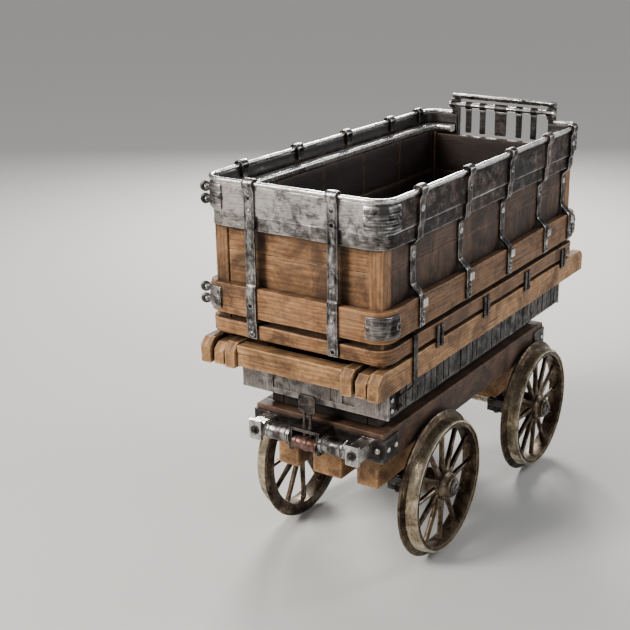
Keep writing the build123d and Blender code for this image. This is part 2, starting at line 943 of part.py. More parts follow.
def make_side_straps(side):
    """Five steel straps that hook over the rim and step in to the boards on one side."""
    belt_out = tub_half_x + wood_band_stand
    lower = [
        (tub_half_x + band_stand, band_bottom),
        (tub_half_x + strip_stand, band_bottom - 6),
        (tub_half_x + strip_stand, strip_bottom),
        (wall_face_x, strip_bottom - strap_tuck),
        (wall_face_x, wood_band_top + strap_kick),
        (belt_out, wood_band_top),
        (belt_out, wood_band_bottom + strap_foot_lift),
    ]
    points = strap_path(tub_half_x, lower)
    with BuildPart() as straps:
        for y in side_strap_places():
            with BuildSketch(Plane.XZ.offset(-y)):
                with BuildLine():
                    Polyline(*strap_outline(points), close=True)
                make_face()
            extrude(amount=side_strap_width / 2, both=True)
    if side > 0:
        return straps
    with BuildPart() as mirrored:
        add(mirror(straps.part, about=Plane.YZ))
    return mirrored


def make_front_straps():
    """Two steel straps down the front, from the rim to the base rail."""
    lower = [
        (tub_half_y + band_stand, wood_band_top + strap_step),
        (tub_half_y + wood_band_stand, wood_band_top),
        (tub_half_y + wood_band_stand, wood_band_bottom),
        (tub_half_y + rail_stand, rail_bottom + rail_height - 4),
        (tub_half_y + rail_stand, rail_bottom + 6),
    ]
    points = strap_path(tub_half_y, lower)
    with BuildPart() as straps:
        for x in (-front_strap_x, front_strap_x):
            plane = Plane(origin=(x, tub_y, 0), x_dir=(0, -1, 0), z_dir=(-1, 0, 0))
            with BuildSketch(plane):
                with BuildLine():
                    Polyline(*strap_outline(points), close=True)
                make_face()
            extrude(amount=strap_width / 2, both=True)
    return straps


def make_strap_clamps():
    """Square clamp block on each side strap at the top edge of the timber belt."""
    face = tub_half_x + wood_band_stand + strap_thickness
    with BuildPart() as clamps:
        for side in (-1, 1):
            near = side * face
            far = side * (face + clamp_depth)
            for y in side_strap_places():
                block((min(near, far), max(near, far)), (y - clamp_size / 2, y + clamp_size / 2),
                      (wood_band_top - clamp_size - clamp_drop, wood_band_top - clamp_drop))
        chamfer(clamps.edges().filter_by(Axis.Z), 2)
    return clamps


def make_rivets():
    """Domed rivet heads on the front and side straps."""
    front_face = tub_y - tub_half_y - strap_thickness
    belt_mid = wood_band_bottom + wood_band_height * 0.45
    with BuildPart() as rivets:
        for x in (-front_strap_x, front_strap_x):
            for z, stand in (
                (band_bottom + band_height * 0.62, band_stand),
                (band_bottom + 16, band_stand),
                (belt_mid, wood_band_stand),
                (rail_bottom + rail_height * 0.42, rail_stand),
            ):
                origin = (x, front_face - stand, z)
                domed_bolt(Plane(origin, z_dir=(0, -1, 0)), rivet_radius, rivet_height)
        for side in (-1, 1):
            for y in side_strap_places():
                for z, stand in (
                    (band_bottom + band_height * 0.5, band_stand),
                    (strip_bottom - 56, -wall_recess),
                    (belt_mid, wood_band_stand),
                    (wood_band_bottom + 22, wood_band_stand),
                ):
                    origin = (side * (tub_half_x + stand + strap_thickness), y, z)
                    domed_bolt(Plane(origin, z_dir=(side, 0, 0)), rivet_radius, rivet_height)
    return rivets


def corner_pieces(stand, radius, thickness, reach, bottom, height):
    """Four plates bent round the corners of a band."""
    ring(stand + thickness, stand, radius + thickness, radius, bottom, height)
    cut_x = tub_half_x + stand - radius - reach
    cut_y = tub_half_y + stand - radius - reach
    far = tub_length
    block((-cut_x, cut_x), (tub_y - far, tub_y + far), (bottom, bottom + height), Mode.SUBTRACT)
    block((-far, far), (tub_y - cut_y, tub_y + cut_y), (bottom, bottom + height), Mode.SUBTRACT)


def make_corner_plates():
    """Steel plates bent round the corners of the main band and of the timber belt."""
    with BuildPart() as plates:
        corner_pieces(band_stand, band_corner_radius, upper_plate_thickness, upper_plate_reach,
                      band_bottom + upper_plate_margin, band_height - 2 * upper_plate_margin)
        corner_pieces(wood_band_stand, timber_corner_radius, lower_plate_thickness,
                      lower_plate_reach, wood_band_bottom + lower_plate_margin,
                      wood_band_height - 2 * lower_plate_margin)
    return plates


def make_eye_bolts():
    """Ring-headed bolts through the corner plates of the left front corner, in two pairs."""
    upper_middle = band_bottom + band_height / 2
    lower_middle = wood_band_bottom + wood_band_height / 2
    half = ring_bolt_pitch / 2
    with BuildPart() as bolts:
        for middle, stand, radius, thickness in (
            (upper_middle, band_stand, band_corner_radius, upper_plate_thickness),
            (lower_middle, wood_band_stand, timber_corner_radius, lower_plate_thickness),
        ):
            x = -(tub_half_x + stand - radius)
            y = tub_front_y - stand + radius
            face = radius + thickness
            length = ring_bolt_foot + thickness
            ring_out = face + ring_bolt_foot + ring_radius - ring_seat
            for z in (middle - half, middle + half):
                with Locations(Location((x, y, z), (0, 0, 180 + ring_bolt_angle))):
                    with Locations(Location((face + ring_bolt_foot - length / 2, 0, 0), (0, 90, 0))):
                        Cylinder(ring_bolt_radius, length)
                    with Locations(Location((ring_out, 0, 0), (90, 0, 0))):
                        Torus(ring_radius, ring_wire_radius)
            with Locations((x, y, middle)):
                Cylinder(face, ring_bolt_pitch + 4 * ring_bolt_radius, mode=Mode.SUBTRACT)
    return bolts


def make_rail_clips():
    """Pairs of flat irons that tie the base rail to the outer platform beam."""
    face = tub_half_x + rail_stand
    first = tub_front_y + clip_first_inset
    pitch = (tub_rear_y - clip_last_inset - first) / (clip_pair_count - 1)
    half = clip_width / 2
    with BuildPart() as clips:
        for side in (-1, 1):
            near = side * face
            far = side * (face + clip_thickness)
            for pair in range(clip_pair_count):
                station = first + pair * pitch
                for y in (station - clip_half_gap, station + clip_half_gap):
                    block((min(near, far), max(near, far)), (y - half, y + half),
                          (beam_top - clip_foot, rail_bottom + rail_height - clip_head_drop))
        chamfer(clips.edges().filter_by(Axis.Y), 2)
    return clips


def make_hold_down_irons():
    """Bent irons that hook over the base rail and bolt to the front corners of the box."""
    rail_out = tub_half_x + rail_stand
    rail_top = rail_bottom + rail_height
    box_out = box_width / 2
    foot = box_bottom + iron_hook
    points = [
        (rail_out - iron_hook, rail_top),
        (rail_out, rail_top),
        (rail_out, beam_bottom - iron_bolt_radius),
        (box_out, beam_bottom - iron_bend),
        (box_out, foot),
    ]
    y = box_front_y + iron_inset
    with BuildPart() as irons:
        with BuildSketch(Plane.XZ.offset(-y)):
            with BuildLine():
                Polyline(*strap_outline(points), close=True)
            make_face()
        extrude(amount=iron_width / 2, both=True)
        origin = (box_out + strap_thickness, y, foot + iron_hook)
        domed_bolt(Plane(origin, z_dir=(1, 0, 0)), iron_bolt_radius, plate_bolt_height)
        mirror(about=Plane.YZ)
    return irons


# ================================================================ tail gate
def make_gate_posts():
    """Posts either side of the gate, with an eye for the hinge rod."""
    bottom = bead_bottom - gate_post_drop
    with BuildPart() as posts:
        for side in (-1, 1):
            near = side * gate_post_inner_x
            far = side * gate_post_outer_x
            x_range = (min(near, far), max(near, far))
            block(x_range, (gate_post_y, gate_post_y + gate_post_depth),
                  (bottom, head_rail_bottom))
            block(x_range, (gate_rod_y, gate_post_y + 1), (rim_top + 1, head_rail_bottom))
            with Locations(Location(((near + far) / 2, gate_rod_y, gate_rod_z), (0, 90, 0))):
                Cylinder(gate_rod_radius + gate_eye_wall, gate_post_width)
            with Locations(Location(((near + far) / 2, gate_rod_y, gate_rod_z), (0, 90, 0))):
                Cylinder(gate_rod_radius + running_clearance, gate_post_width,
                         mode=Mode.SUBTRACT)
    return posts


def make_head_rail():
    """Flat rail across the tops of the gate posts."""
    half = gate_half_width + gate_post_width
    with BuildPart() as rail:
        block((-half, half), (gate_post_y - 8, gate_post_y - 8 + head_rail_depth),
              (head_rail_bottom, head_rail_bottom + head_rail_height))
        chamfer(rail.edges().filter_by(Axis.X), 3)
    return rail


def make_gate_rod():
    """Round hinge rod of the gate, with a collar outside each post."""
    half = gate_post_outer_x
    with BuildPart() as rod:
        with Locations(Location((0, gate_rod_y, gate_rod_z), (0, 90, 0))):
            Cylinder(gate_rod_radius, 2 * (half + rod_end_length))
        middle = half + rod_end_length - rod_collar_length / 2
        for side in (-1, 1):
            with Locations(Location((side * middle, gate_rod_y, gate_rod_z), (0, 90, 0))):
                Cylinder(gate_rod_radius + rod_collar_wall, rod_collar_length)
    return rod


def make_gate_slats():
    """Five upright slats hung from the hinge rod, the middle one wide."""
    bottom = rear_wall_top + slat_clearance
    places = (
        (-slat_outer_x, slat_width),
        (-slat_inner_x, slat_width),
        (0, middle_slat_width),
        (slat_inner_x, slat_width),
        (slat_outer_x, slat_width),
    )
    with BuildPart() as slats:
        for x, width in places:
            with BuildSketch(Plane.YZ.offset(x - width / 2)):
                with Locations((gate_rod_y, gate_rod_z)):
                    Circle(gate_rod_radius + gate_eye_wall)
                with Locations((gate_rod_y, (bottom + gate_rod_z) / 2)):
                    Rectangle(slat_thickness, gate_rod_z - bottom)
                with Locations((gate_rod_y, gate_rod_z)):
                    Circle(gate_rod_radius, mode=Mode.SUBTRACT)
            extrude(amount=width)
    return slats


# ================================================================ coupling
def make_bumper_bars():
    """Round bar either side of the coupling head, with a collar at its inner end."""
    outer = bumper_half_width - end_plate_width
    with BuildPart() as bars:
        for side in (-1, 1):
            middle = side * (coupling_half + outer) / 2
            with Locations(Location((middle, bumper_y, bumper_z), (0, 90, 0))):
                Cylinder(bumper_radius, outer - coupling_half)
            for x in (coupling_half + bumper_collar_length / 2, outer - 2 * bumper_collar_length):
                with Locations(Location((side * x, bumper_y, bumper_z), (0, 90, 0))):
                    Cylinder(bumper_radius + bumper_collar_wall, bumper_collar_length)
    return bars


def make_end_blocks():
    """Square-faced block at each end of the bumper, with a stay back to the headstock."""
    with BuildPart() as blocks:
        for side in (-1, 1):
            near = side * (bumper_half_width - end_plate_width)
            far = side * bumper_half_width
            x_range = (min(near, far), max(near, far))
            half = end_plate_height / 2
            front = bumper_y - bumper_radius - end_plate_stand
            block(x_range, (front, front + end_plate_thickness), (bumper_z - half, bumper_z + half))
            stay = half - end_stay_inset
            block(x_range, (front + end_plate_thickness, headstock_face_y),
                  (bumper_z - stay, bumper_z + stay))
    return blocks


def make_bumper_bolts():
    """Large ringed bolt head on the face of each end block."""
    front = bumper_y - bumper_radius - end_plate_stand
    with BuildPart() as bolts:
        for side in (-1, 1):
            x = side * (bumper_half_width - end_plate_width / 2)
            plane = Plane((x, front, bumper_z), z_dir=(0, -1, 0))
            with BuildSketch(plane):
                Circle(bumper_ring_radius)
            extrude(amount=bumper_ring_height)
            with BuildSketch(plane.offset(bumper_ring_height)):
                Circle(bumper_bolt_radius)
            extrude(amount=bumper_bolt_height, taper=10)
    return bolts


def make_coupling_head():
    """Cast head in the middle of the bumper: two cheeks, a back plate and a slotted top."""
    back = headstock_face_y
    front = bumper_y - bumper_radius
    with BuildPart() as head:
        block((-coupling_half, coupling_half), (front + coupling_recess, back),
              (drum_z - drum_radius, coupling_top + coupling_cover))
        inner = coupling_half - coupling_cheek
        block((-inner, inner), (front, bumper_y + drum_radius + drum_clearance),
              (drum_z - drum_radius, coupling_top), Mode.SUBTRACT)
        with Locations(Location((0, drum_y, drum_z), (0, 90, 0))):
            Cylinder(drum_pin_radius, 2 * coupling_half)
        for x in (-pin_spacing / 2, pin_spacing / 2):
            with Locations((x, bumper_y, coupling_top + coupling_cover / 2)):
                Cylinder(pin_radius + running_clearance, coupling_cover, mode=Mode.SUBTRACT)
    return head


def make_coupling_drum():
    """Roller that turns on the pin between the cheeks of the coupling head."""
    half = coupling_half - coupling_cheek - drum_side_play
    with BuildPart() as drum:
        with Locations(Location((0, drum_y, drum_z), (0, 90, 0))):
            Cylinder(drum_radius - drum_groove, 2 * half)
        end = half - drum_flange_length / 2
        for x in (-end, 0, end):
            with Locations(Location((x, drum_y, drum_z), (0, 90, 0))):
                Cylinder(drum_radius, drum_flange_length)
        with Locations(Location((0, drum_y, drum_z), (0, 90, 0))):
            Cylinder(drum_pin_radius + running_clearance, 2 * half, mode=Mode.SUBTRACT)
    return drum


def make_coupling_pin():
    """Twin drop pin with a pull plate on top."""
    top = coupling_top + coupling_cover + pin_reach
    bottom = drum_z + drum_radius + drum_clearance
    with BuildPart() as pin:
        block((-pin_plate_width / 2, pin_plate_width / 2),
              (bumper_y - pin_plate_thickness / 2, bumper_y + pin_plate_thickness / 2),
              (top, top + pin_plate_height))
        chamfer(pin.edges().filter_by(Axis.Y), pin_plate_chamfer)
        with BuildSketch(Plane.XY.offset(bottom)):
            for x in (-pin_spacing / 2, pin_spacing / 2):
                with Locations((x, bumper_y)):
                    Circle(pin_radius)
        extrude(amount=top - bottom)
        with BuildSketch(Plane.XY.offset(coupling_top + coupling_cover)):
            for x in (-pin_spacing / 2, pin_spacing / 2):
                with Locations((x, bumper_y)):
                    Circle(pin_radius + pin_collar_wall)
        extrude(amount=pin_collar_height)
    return pin


def build_all():
    """Make every node and write it."""
    os.makedirs("parts", exist_ok=True)
    for end, y in (("front", front_axle_y), ("rear", rear_axle_y)):
        save(make_axle(y), f"{end}_axle")
        save(make_hub_caps(y), f"{end}_hub_caps")
        for hand, side in (("left", -1), ("right", 1)):
            save(place_wheel(side, y), f"wheel_{end}_{hand}")
    save(make_bearing_housings(), "bearing_housings")
    save(make_bearing_keeps(), "bearing_keeps")
    save(make_bearing_bushes(), "bearing_bushes")
    save(make_bearing_bolts(), "bearing_bolts")
    save(make_sills(), "frame_sills")
    save(make_headstock(-1), "front_headstock")
    save(make_headstock(1), "rear_headstock")
    save(make_crossbars(), "frame_crossbars")
    save(make_bearers(), "axle_bearers")
    save(make_headstock_plates(), "headstock_plates")
    save(make_frame_bolts(), "frame_bolts")
    save(make_bolsters(), "body_bolsters")
    save(make_box_front(), "box_front_plate")
    save(make_box_inset(), "box_inset_panel")
    save(make_box_sides(), "box_side_plates")
    save(make_box_rear(), "box_rear_plate")
    save(make_box_floor(), "box_floor_plate")
    save(make_outer_beam(-1), "outer_beam_left")
    save(make_outer_beam(1), "outer_beam_right")
    save(make_inner_beams(), "inner_beams")
    save(make_cross_beams(), "cross_beams")
    save(make_floor_boards(), "floor_boards")
    save(make_corner_posts(), "corner_posts")
    save(make_end_wall(-1, wall_top), "front_wall")
    save(make_end_wall(1, rear_wall_top), "rear_wall")
    save(make_side_wall(-1), "left_wall")
    save(make_side_wall(1), "right_wall")
    save(make_wall_capping(), "wall_capping")
    save(make_base_rail(), "base_rail")
    save(make_wood_band(), "wood_band")
    save(make_strip_band(), "strip_band")
    save(make_upper_band(), "upper_band")
    save(make_rim_bead(), "rim_bead")
    save(make_front_straps(), "front_straps")
    save(make_side_straps(-1), "left_straps")
    save(make_side_straps(1), "right_straps")
    save(make_strap_clamps(), "strap_clamps")
    save(make_rivets(), "strap_rivets")
    save(make_corner_plates(), "corner_plates")
    save(make_eye_bolts(), "eye_bolts")
    save(make_rail_clips(), "rail_clips")
    save(make_hold_down_irons(), "hold_down_irons")
    save(make_gate_posts(), "gate_posts")
    save(make_head_rail(), "gate_head_rail")
    save(make_gate_rod(), "gate_rod")
    save(make_gate_slats(), "gate_slats")
    save(make_bumper_bars(), "bumper_bars")
    save(make_end_blocks(), "bumper_end_blocks")
    save(make_bumper_bolts(), "bumper_bolts")
    save(make_coupling_head(), "coupling_head")
    save(make_coupling_drum(), "coupling_drum")
    save(make_coupling_pin(), "coupling_pin")


build_all()
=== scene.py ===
import json
import math
import random

import bpy
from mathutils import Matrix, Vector, noise

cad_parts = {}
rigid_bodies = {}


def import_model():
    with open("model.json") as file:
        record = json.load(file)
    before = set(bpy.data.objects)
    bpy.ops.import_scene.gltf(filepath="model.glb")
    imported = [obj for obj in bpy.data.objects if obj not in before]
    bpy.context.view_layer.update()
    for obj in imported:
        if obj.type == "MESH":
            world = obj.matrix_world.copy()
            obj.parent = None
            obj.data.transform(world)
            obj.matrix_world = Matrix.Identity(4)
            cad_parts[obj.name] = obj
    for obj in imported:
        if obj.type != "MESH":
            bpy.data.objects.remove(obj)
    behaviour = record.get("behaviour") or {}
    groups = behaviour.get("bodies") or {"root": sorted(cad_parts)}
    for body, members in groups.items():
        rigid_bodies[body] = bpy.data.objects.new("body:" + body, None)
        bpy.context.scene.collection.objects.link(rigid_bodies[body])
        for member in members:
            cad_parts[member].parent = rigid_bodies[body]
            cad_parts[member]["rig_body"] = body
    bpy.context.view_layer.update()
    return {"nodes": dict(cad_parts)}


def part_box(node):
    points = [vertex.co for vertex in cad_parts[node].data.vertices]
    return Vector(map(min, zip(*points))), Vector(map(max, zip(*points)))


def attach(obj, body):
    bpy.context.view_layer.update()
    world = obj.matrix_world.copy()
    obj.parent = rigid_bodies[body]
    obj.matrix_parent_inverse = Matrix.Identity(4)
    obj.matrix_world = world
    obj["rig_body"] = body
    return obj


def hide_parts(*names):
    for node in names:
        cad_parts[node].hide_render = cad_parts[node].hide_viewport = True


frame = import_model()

random.seed(1871)

# Sizes in metres that the frame's boxes don't give directly.
BAND_THICKNESS = 0.008
BEAD_WIDTH = 0.018
TIMBER_CORNER = 0.060
BAND_CORNER = 0.070
CAPPING_WIDTH = 0.044
STRAP_THICKNESS = 0.008
BELT_THICKNESS = 0.030
RAIL_THICKNESS = 0.026
STRIP_THICKNESS = 0.018
BEAM_SLOPE_LENGTH = 0.020
BEAM_SLOPE_DROP = 0.024
SPOKES = 12
FLANGE_HEIGHT = 0.024
RIM_DEPTH = 0.028
FLANGE_THICKNESS = 0.018
FLANGE_INSET = 0.036
HUB_PROUD = 0.016
HUB_RADIUS = 0.050
HUB_STUDS = 6
HUB_STUD_RING = 0.0445
UPPER_PLATE_THICKNESS = 0.006
LOWER_PLATE_THICKNESS = 0.007
PLATE_RIB = 0.0017
PLATE_REACH_SHARE = 0.9
RING_BOLT_ANGLE = math.radians(30)
RING_RADIUS = 0.015
RING_WIRE = 0.0045
RING_FOOT_REACH = 0.0225
BUMPER_RADIUS = 0.030
GATE_ROD_RADIUS = 0.011
SLAT_HALF_THICKNESS = 0.0055
BATTEN_SEAT = 0.006
BATTEN_BITE = 0.0005
AXLE_SEAT_LENGTH = 0.119
AXLE_SEAT_RADIUS = 0.026
TUB_MIDDLE_Y = -0.026
UP = Vector((0, 0, 1))
ACROSS = Vector((1, 0, 0))


# ---------------------------------------------------------------- reading the frame
def solids(node):
    """Box of each separate solid in a CAD node, as (lowest corner, highest corner)."""
    mesh = frame["nodes"][node].data
    keys = [tuple(round(c, 5) for c in v.co) for v in mesh.vertices]
    parent = {key: key for key in keys}

    def root(key):
        while parent[key] != key:
            parent[key] = parent[parent[key]]
            key = parent[key]
        return key

    for polygon in mesh.polygons:
        first = root(keys[polygon.vertices[0]])
        for index in polygon.vertices[1:]:
            parent[root(keys[index])] = first
    groups = {}
    for key in parent:
        groups.setdefault(root(key), []).append(key)
    boxes = []
    for points in groups.values():
        low = Vector(min(p[i] for p in points) for i in range(3))
        high = Vector(max(p[i] for p in points) for i in range(3))
        boxes.append((low, high))
    return sorted(boxes, key=lambda box: tuple(round(c, 4) for c in box[0]))


def centre_at(low, high, x=0.0):
    """The middle of a box in y and z, at the given x."""
    return Vector((x, (low.y + high.y) / 2, (low.z + high.z) / 2))


# ---------------------------------------------------------------- mesh making
class Shape:
    """Collects vertices and faces with a grain coordinate and a tone for each vertex; the tone
    holds random variation and painted light and shade.
    """

    def __init__(self):
        self.points = []
        self.faces = []
        self.grain = []
        self.tone = []

    def add(self, point, grain, tone):
        self.points.append(point)
        self.grain.append(grain)
        self.tone.append(tone)
        return len(self.points) - 1

    def build(self, name, material, sharp=38):
        """Make the Blender object, smooth except at sharp edges."""
        mesh = bpy.data.meshes.new(name)
        mesh.from_pydata([tuple(p) for p in self.points], [], self.faces)
        grain = mesh.attributes.new("grain", "FLOAT_VECTOR", "POINT")
        grain.data.foreach_set("vector", [c for g in self.grain for c in g])
        tone = mesh.attributes.new("tone", "FLOAT", "POINT")
        tone.data.foreach_set("value", self.tone)
        mesh.polygons.foreach_set("use_smooth", [True] * len(mesh.polygons))
        mesh.set_sharp_from_angle(angle=math.radians(sharp))
        mesh.materials.append(material)
        mesh.validate()
        obj = bpy.data.objects.new(name, mesh)
        bpy.context.scene.collection.objects.link(obj)
        return obj


def rounded_profile(width, height, radius, corner=3, side=3):
    """Closed rounded rectangle about the origin, counter-clockwise, as (a, b) pairs."""
    radius = min(radius, width * 0.49, height * 0.49)
    half_w = width / 2 - radius
    half_h = height / 2 - radius
    points = []
    centres = ((half_w, half_h), (-half_w, half_h), (-half_w, -half_h), (half_w, -half_h))
    for quarter, (cx, cy) in enumerate(centres):
        for step in range(corner + 1):
            angle = math.pi / 2 * (quarter + step / corner)
            points.append((cx + radius * math.cos(angle), cy + radius * math.sin(angle)))
        end = points[-1]
        nx, ny = centres[(quarter + 1) % 4]
        angle = math.pi / 2 * (quarter + 1)
        start = (nx + radius * math.cos(angle), ny + radius * math.sin(angle))
        for step in range(1, side + 1):
            t = step / (side + 1)
            points.append((end[0] + (start[0] - end[0]) * t, end[1] + (start[1] - end[1]) * t))
    return points


def cap(shape, ring, offset, tone, flip):
    """Close the end of a sweep with a ring of quads and a fan."""
    count = len(ring)
    middle = Vector((0, 0, 0))
    for index in ring:
        middle += shape.points[index]
    middle /= count
    centre = shape.add(middle, (shape.grain[ring[0]][0], offset.y, offset.z), tone)
    share = 0.55
    inner = []
    for index in ring:
        along, a, b = shape.grain[index]
        grain = (along, offset.y + (a - offset.y) * share, offset.z + (b - offset.z) * share)
        inner.append(shape.add(middle.lerp(shape.points[index], share), grain, tone))
    for j in range(count):
        k = (j + 1) % count
        quad = (ring[j], inner[j], inner[k], ring[k])
        tri = (inner[j], centre, inner[k])
        shape.faces.append(quad[::-1] if flip else quad)
        shape.faces.append(tri[::-1] if flip else tri)


def sweep(shape, frames, profile, closed=False, rough=0.0, tone=0.5, scale=None, seed=0.0,
          pinch=0.0):
    """Sweep a profile through frames of (origin, side, up, distance)."""
    count = len(profile)
    offset = Vector((random.uniform(0, 40), random.uniform(0, 40), random.uniform(0, 40)))
    rings = []
    for index, (origin, side, up, distance) in enumerate(frames):
        grow_a, grow_b = scale(index) if scale else (1.0, 1.0)
        ring = []
        for a, b in profile:
            out = Vector((0, 0, 0))
            if rough:
                place = Vector((distance * 9 + seed, a * 24, b * 24))
                fine = Vector((distance * 42 + seed, a * 90, b * 90))
                lift = noise.noise(place) * rough + noise.noise(fine) * rough * 0.35
                size = math.hypot(a, b) or 1.0
                out = (side * (a / size) + up * (b / size)) * (lift - pinch)
            point = origin + side * (a * grow_a) + up * (b * grow_b) + out
            ring.append(shape.add(point, (distance + offset.x, a + offset.y, b + offset.z), tone))
        rings.append(ring)
    pairs = list(zip(rings, rings[1:]))
    if closed:
        pairs.append((rings[-1], rings[0]))
    for near, far in pairs:
        for j in range(count):
            k = (j + 1) % count
            shape.faces.append((near[j], near[k], far[k], far[j]))
    if not closed:
        cap(shape, rings[0], offset, tone, False)
        cap(shape, rings[-1], offset, tone, True)


def board(shape, low, high, radius=0.004, step=0.022, rough=0.0012, tone=None, slope=None,
          side_points=4, axis=None):
    """A timber or bar that fills a box, with worn edges and softened ends."""
    size = high - low
    if axis is None:
        axis = max(range(3), key=lambda i: size[i])
    b_axis = 2 if axis != 2 else 1
    a_axis = 3 - axis - b_axis
    unit = [Vector((1, 0, 0)), Vector((0, 1, 0)), Vector((0, 0, 1))]
    side, up = unit[a_axis], unit[b_axis]
    along = unit[axis]
    if side.cross(up).dot(along) > 0:
        side, up = up, side
        a_axis, b_axis = b_axis, a_axis
    width, height = size[a_axis], size[b_axis]
    length = size[axis]
    soft = min(radius, length * 0.2)
    stations = [0.0, soft * 0.35, soft]
    count = max(2, int((length - 2 * soft) / step))
    stations += [soft + (length - 2 * soft) * i / count for i in range(1, count)]
    stations += [length - soft, length - soft * 0.35, length]
    middle = (low + high) / 2
    start = middle - along * (length / 2)
    frames = [(start + along * s, side, up, s) for s in stations]
    last = len(stations) - 1

    def ends(index):
        inset = {0: soft, 1: soft * 0.28}.get(min(index, last - index), 0.0)
        return 1 - 2 * inset / width, 1 - 2 * inset / height

    first = len(shape.points)
    pieces_tone = random.uniform(0.25, 0.75) if tone is None else tone
    sweep(shape, frames, rounded_profile(width, height, radius, 3, side_points), rough=rough,
          tone=pieces_tone, scale=ends, seed=random.uniform(0, 90), pinch=rough * 0.6)
    if slope:
        run, drop = slope
        for index in range(first, len(shape.points)):
            point = shape.points[index]
            near = min(point[axis] - low[axis], high[axis] - point[axis])
            if near < run:
                share = (point.z - low.z) / (high.z - low.z)
                point.z -= share * drop * (1 - max(near, 0) / run)


def loop_path(half_x, half_y, radius, centre_y, step=0.02, gap=0.0):
    """Rounded rectangle seen from above: (point, outward normal, distance), from the rear."""
    corner_steps = 8
    corners = (
        (-half_x + radius, half_y - radius, 90),
        (-half_x + radius, -half_y + radius, 180),
        (half_x - radius, -half_y + radius, 270),
        (half_x - radius, half_y - radius, 0),
    )
    points = []
    for cx, cy, start in corners:
        for i in range(corner_steps + 1):
            angle = math.radians(start + 90 * i / corner_steps)
            normal = Vector((math.cos(angle), math.sin(angle), 0))
            points.append((Vector((cx, cy, 0)) + normal * radius, normal))
    first = (Vector((-gap, half_y, 0)), Vector((0, 1, 0)))
    final = (Vector((gap, half_y, 0)), Vector((0, 1, 0)))
    points = [first] + points + [final]
    path = []
    distance = 0.0
    for (p, n), (q, m) in zip(points, points[1:]):
        span = (q - p).length
        count = max(1, int(span / step))
        for i in range(count):
            t = i / count
            place = p.lerp(q, t) + Vector((0, centre_y, 0))
            path.append((place, n.lerp(m, t).normalized(), distance + span * t))
        distance += span
    if gap:
        path.append((final[0] + Vector((0, centre_y, 0)), final[1], distance))
    return path


def paint_facing_shade(shape, first, path, count, front, side):
    """Paint light and shade into the tone of each ring: lighter where it faces the front end,
    darker where it faces the sides.
    """
    for index, (_, normal, _) in enumerate(path):
        share = max(0.0, min(1.0, (-normal.y - 0.25) / 0.6))
        for corner in range(count):
            shape.tone[first + index * count + corner] = side + (front - side) * share


def wave_top(shape, first, path, profile, rise):
    """Let the upper edge of a bent timber wander a little, as hand-shaped ones do."""
    top = max(b for _, b in profile)
    for index, (_, _, distance) in enumerate(path):
        lift = noise.noise(Vector((distance * 3.1, 7.7, 0))) * rise
        for corner, (_, b) in enumerate(profile):
            if b > 0:
                shape.points[first + index * len(profile) + corner].z += lift * b / top


def loop_band(shape, node, thickness, radius, profile_radius, rough, tones=(0.6, 0.6), gap=0.0,
              side_points=5, step=0.02, rise=0.0):
    """A band that follows the outline of its CAD node."""
    low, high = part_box(node)
    height = high.z - low.z
    half_x = (high.x - low.x) / 2 - thickness / 2
    half_y = (high.y - low.y) / 2 - thickness / 2
    path = loop_path(half_x, half_y, radius - thickness / 2, (low.y + high.y) / 2, step, gap)
    level = UP * ((low.z + high.z) / 2)
    frames = [(point + level, normal, UP, distance) for point, normal, distance in path]
    profile = rounded_profile(thickness, height, profile_radius, 3, side_points)
    first = len(shape.points)
    sweep(shape, frames, profile, closed=gap == 0.0, rough=rough, tone=tones[1],
          seed=random.uniform(0, 90), pinch=rough * 0.6)
    # Painted light and shade: the tone is lighter on faces towards the front and darker on the
    # sides.
    paint_facing_shade(shape, first, path, len(profile), *tones)
    if rise:
        wave_top(shape, first, path, profile, rise)


def smooth_path(points, rounds=2):
    """Cut the corners of an open path, as a smith's bends do."""
    for _ in range(rounds):
        cut = [points[0]]
        for p, q in zip(points, points[1:]):
            share = min(0.22, 0.006 / max((q - p).length, 0.001))
            cut.append(p.lerp(q, share))
            cut.append(p.lerp(q, 1 - share))
        cut.append(points[-1])
        points = cut
    return points


def densify(points, step):
    """Add points along the straight stretches of a path."""
    dense = []
    for p, q in zip(points, points[1:]):
        count = max(1, int((q - p).length / step))
        dense += [p.lerp(q, i / count) for i in range(count)]
    return dense + [points[-1]]


def strap(shape, inner, across, width, rough=0.0006, tone=0.5, knuckle=0.0):
    """A flat bar bent along a path; across is the direction of its width."""
    path = densify(smooth_path(inner), 0.012)
    tangents = []
    for index in range(len(path)):
        ahead = path[min(index + 1, len(path) - 1)]
        behind = path[max(index - 1, 0)]
        tangents.append((ahead - behind).normalized())
    frames = []
    distance = 0.0
    for index, (point, tangent) in enumerate(zip(path, tangents)):
        normal = across.cross(tangent).normalized()
        if index:
            distance += (point - path[index - 1]).length
        centre = point + normal * (STRAP_THICKNESS / 2)
        frames.append((centre, normal, across, distance))
    top = max(point.z for point in path)

    def swell(index):
        fall = max(0.0, 1 - (top - path[index].z) / 0.045)
        return 1 + knuckle * fall, 1 + knuckle * 0.25 * fall

    profile = rounded_profile(STRAP_THICKNESS, width, 0.0022, 2, 3)
    first = len(shape.points)
    sweep(shape, frames, profile, rough=rough, tone=tone, scale=swell, seed=random.uniform(0, 90))
    for index in range(len(path)):
        for corner, (_, b) in enumerate(profile):
            share = min(1.0, abs(b) / (width / 2))
            shape.tone[first + index * len(profile) + corner] = tone * (1 - 0.7 * share ** 3)


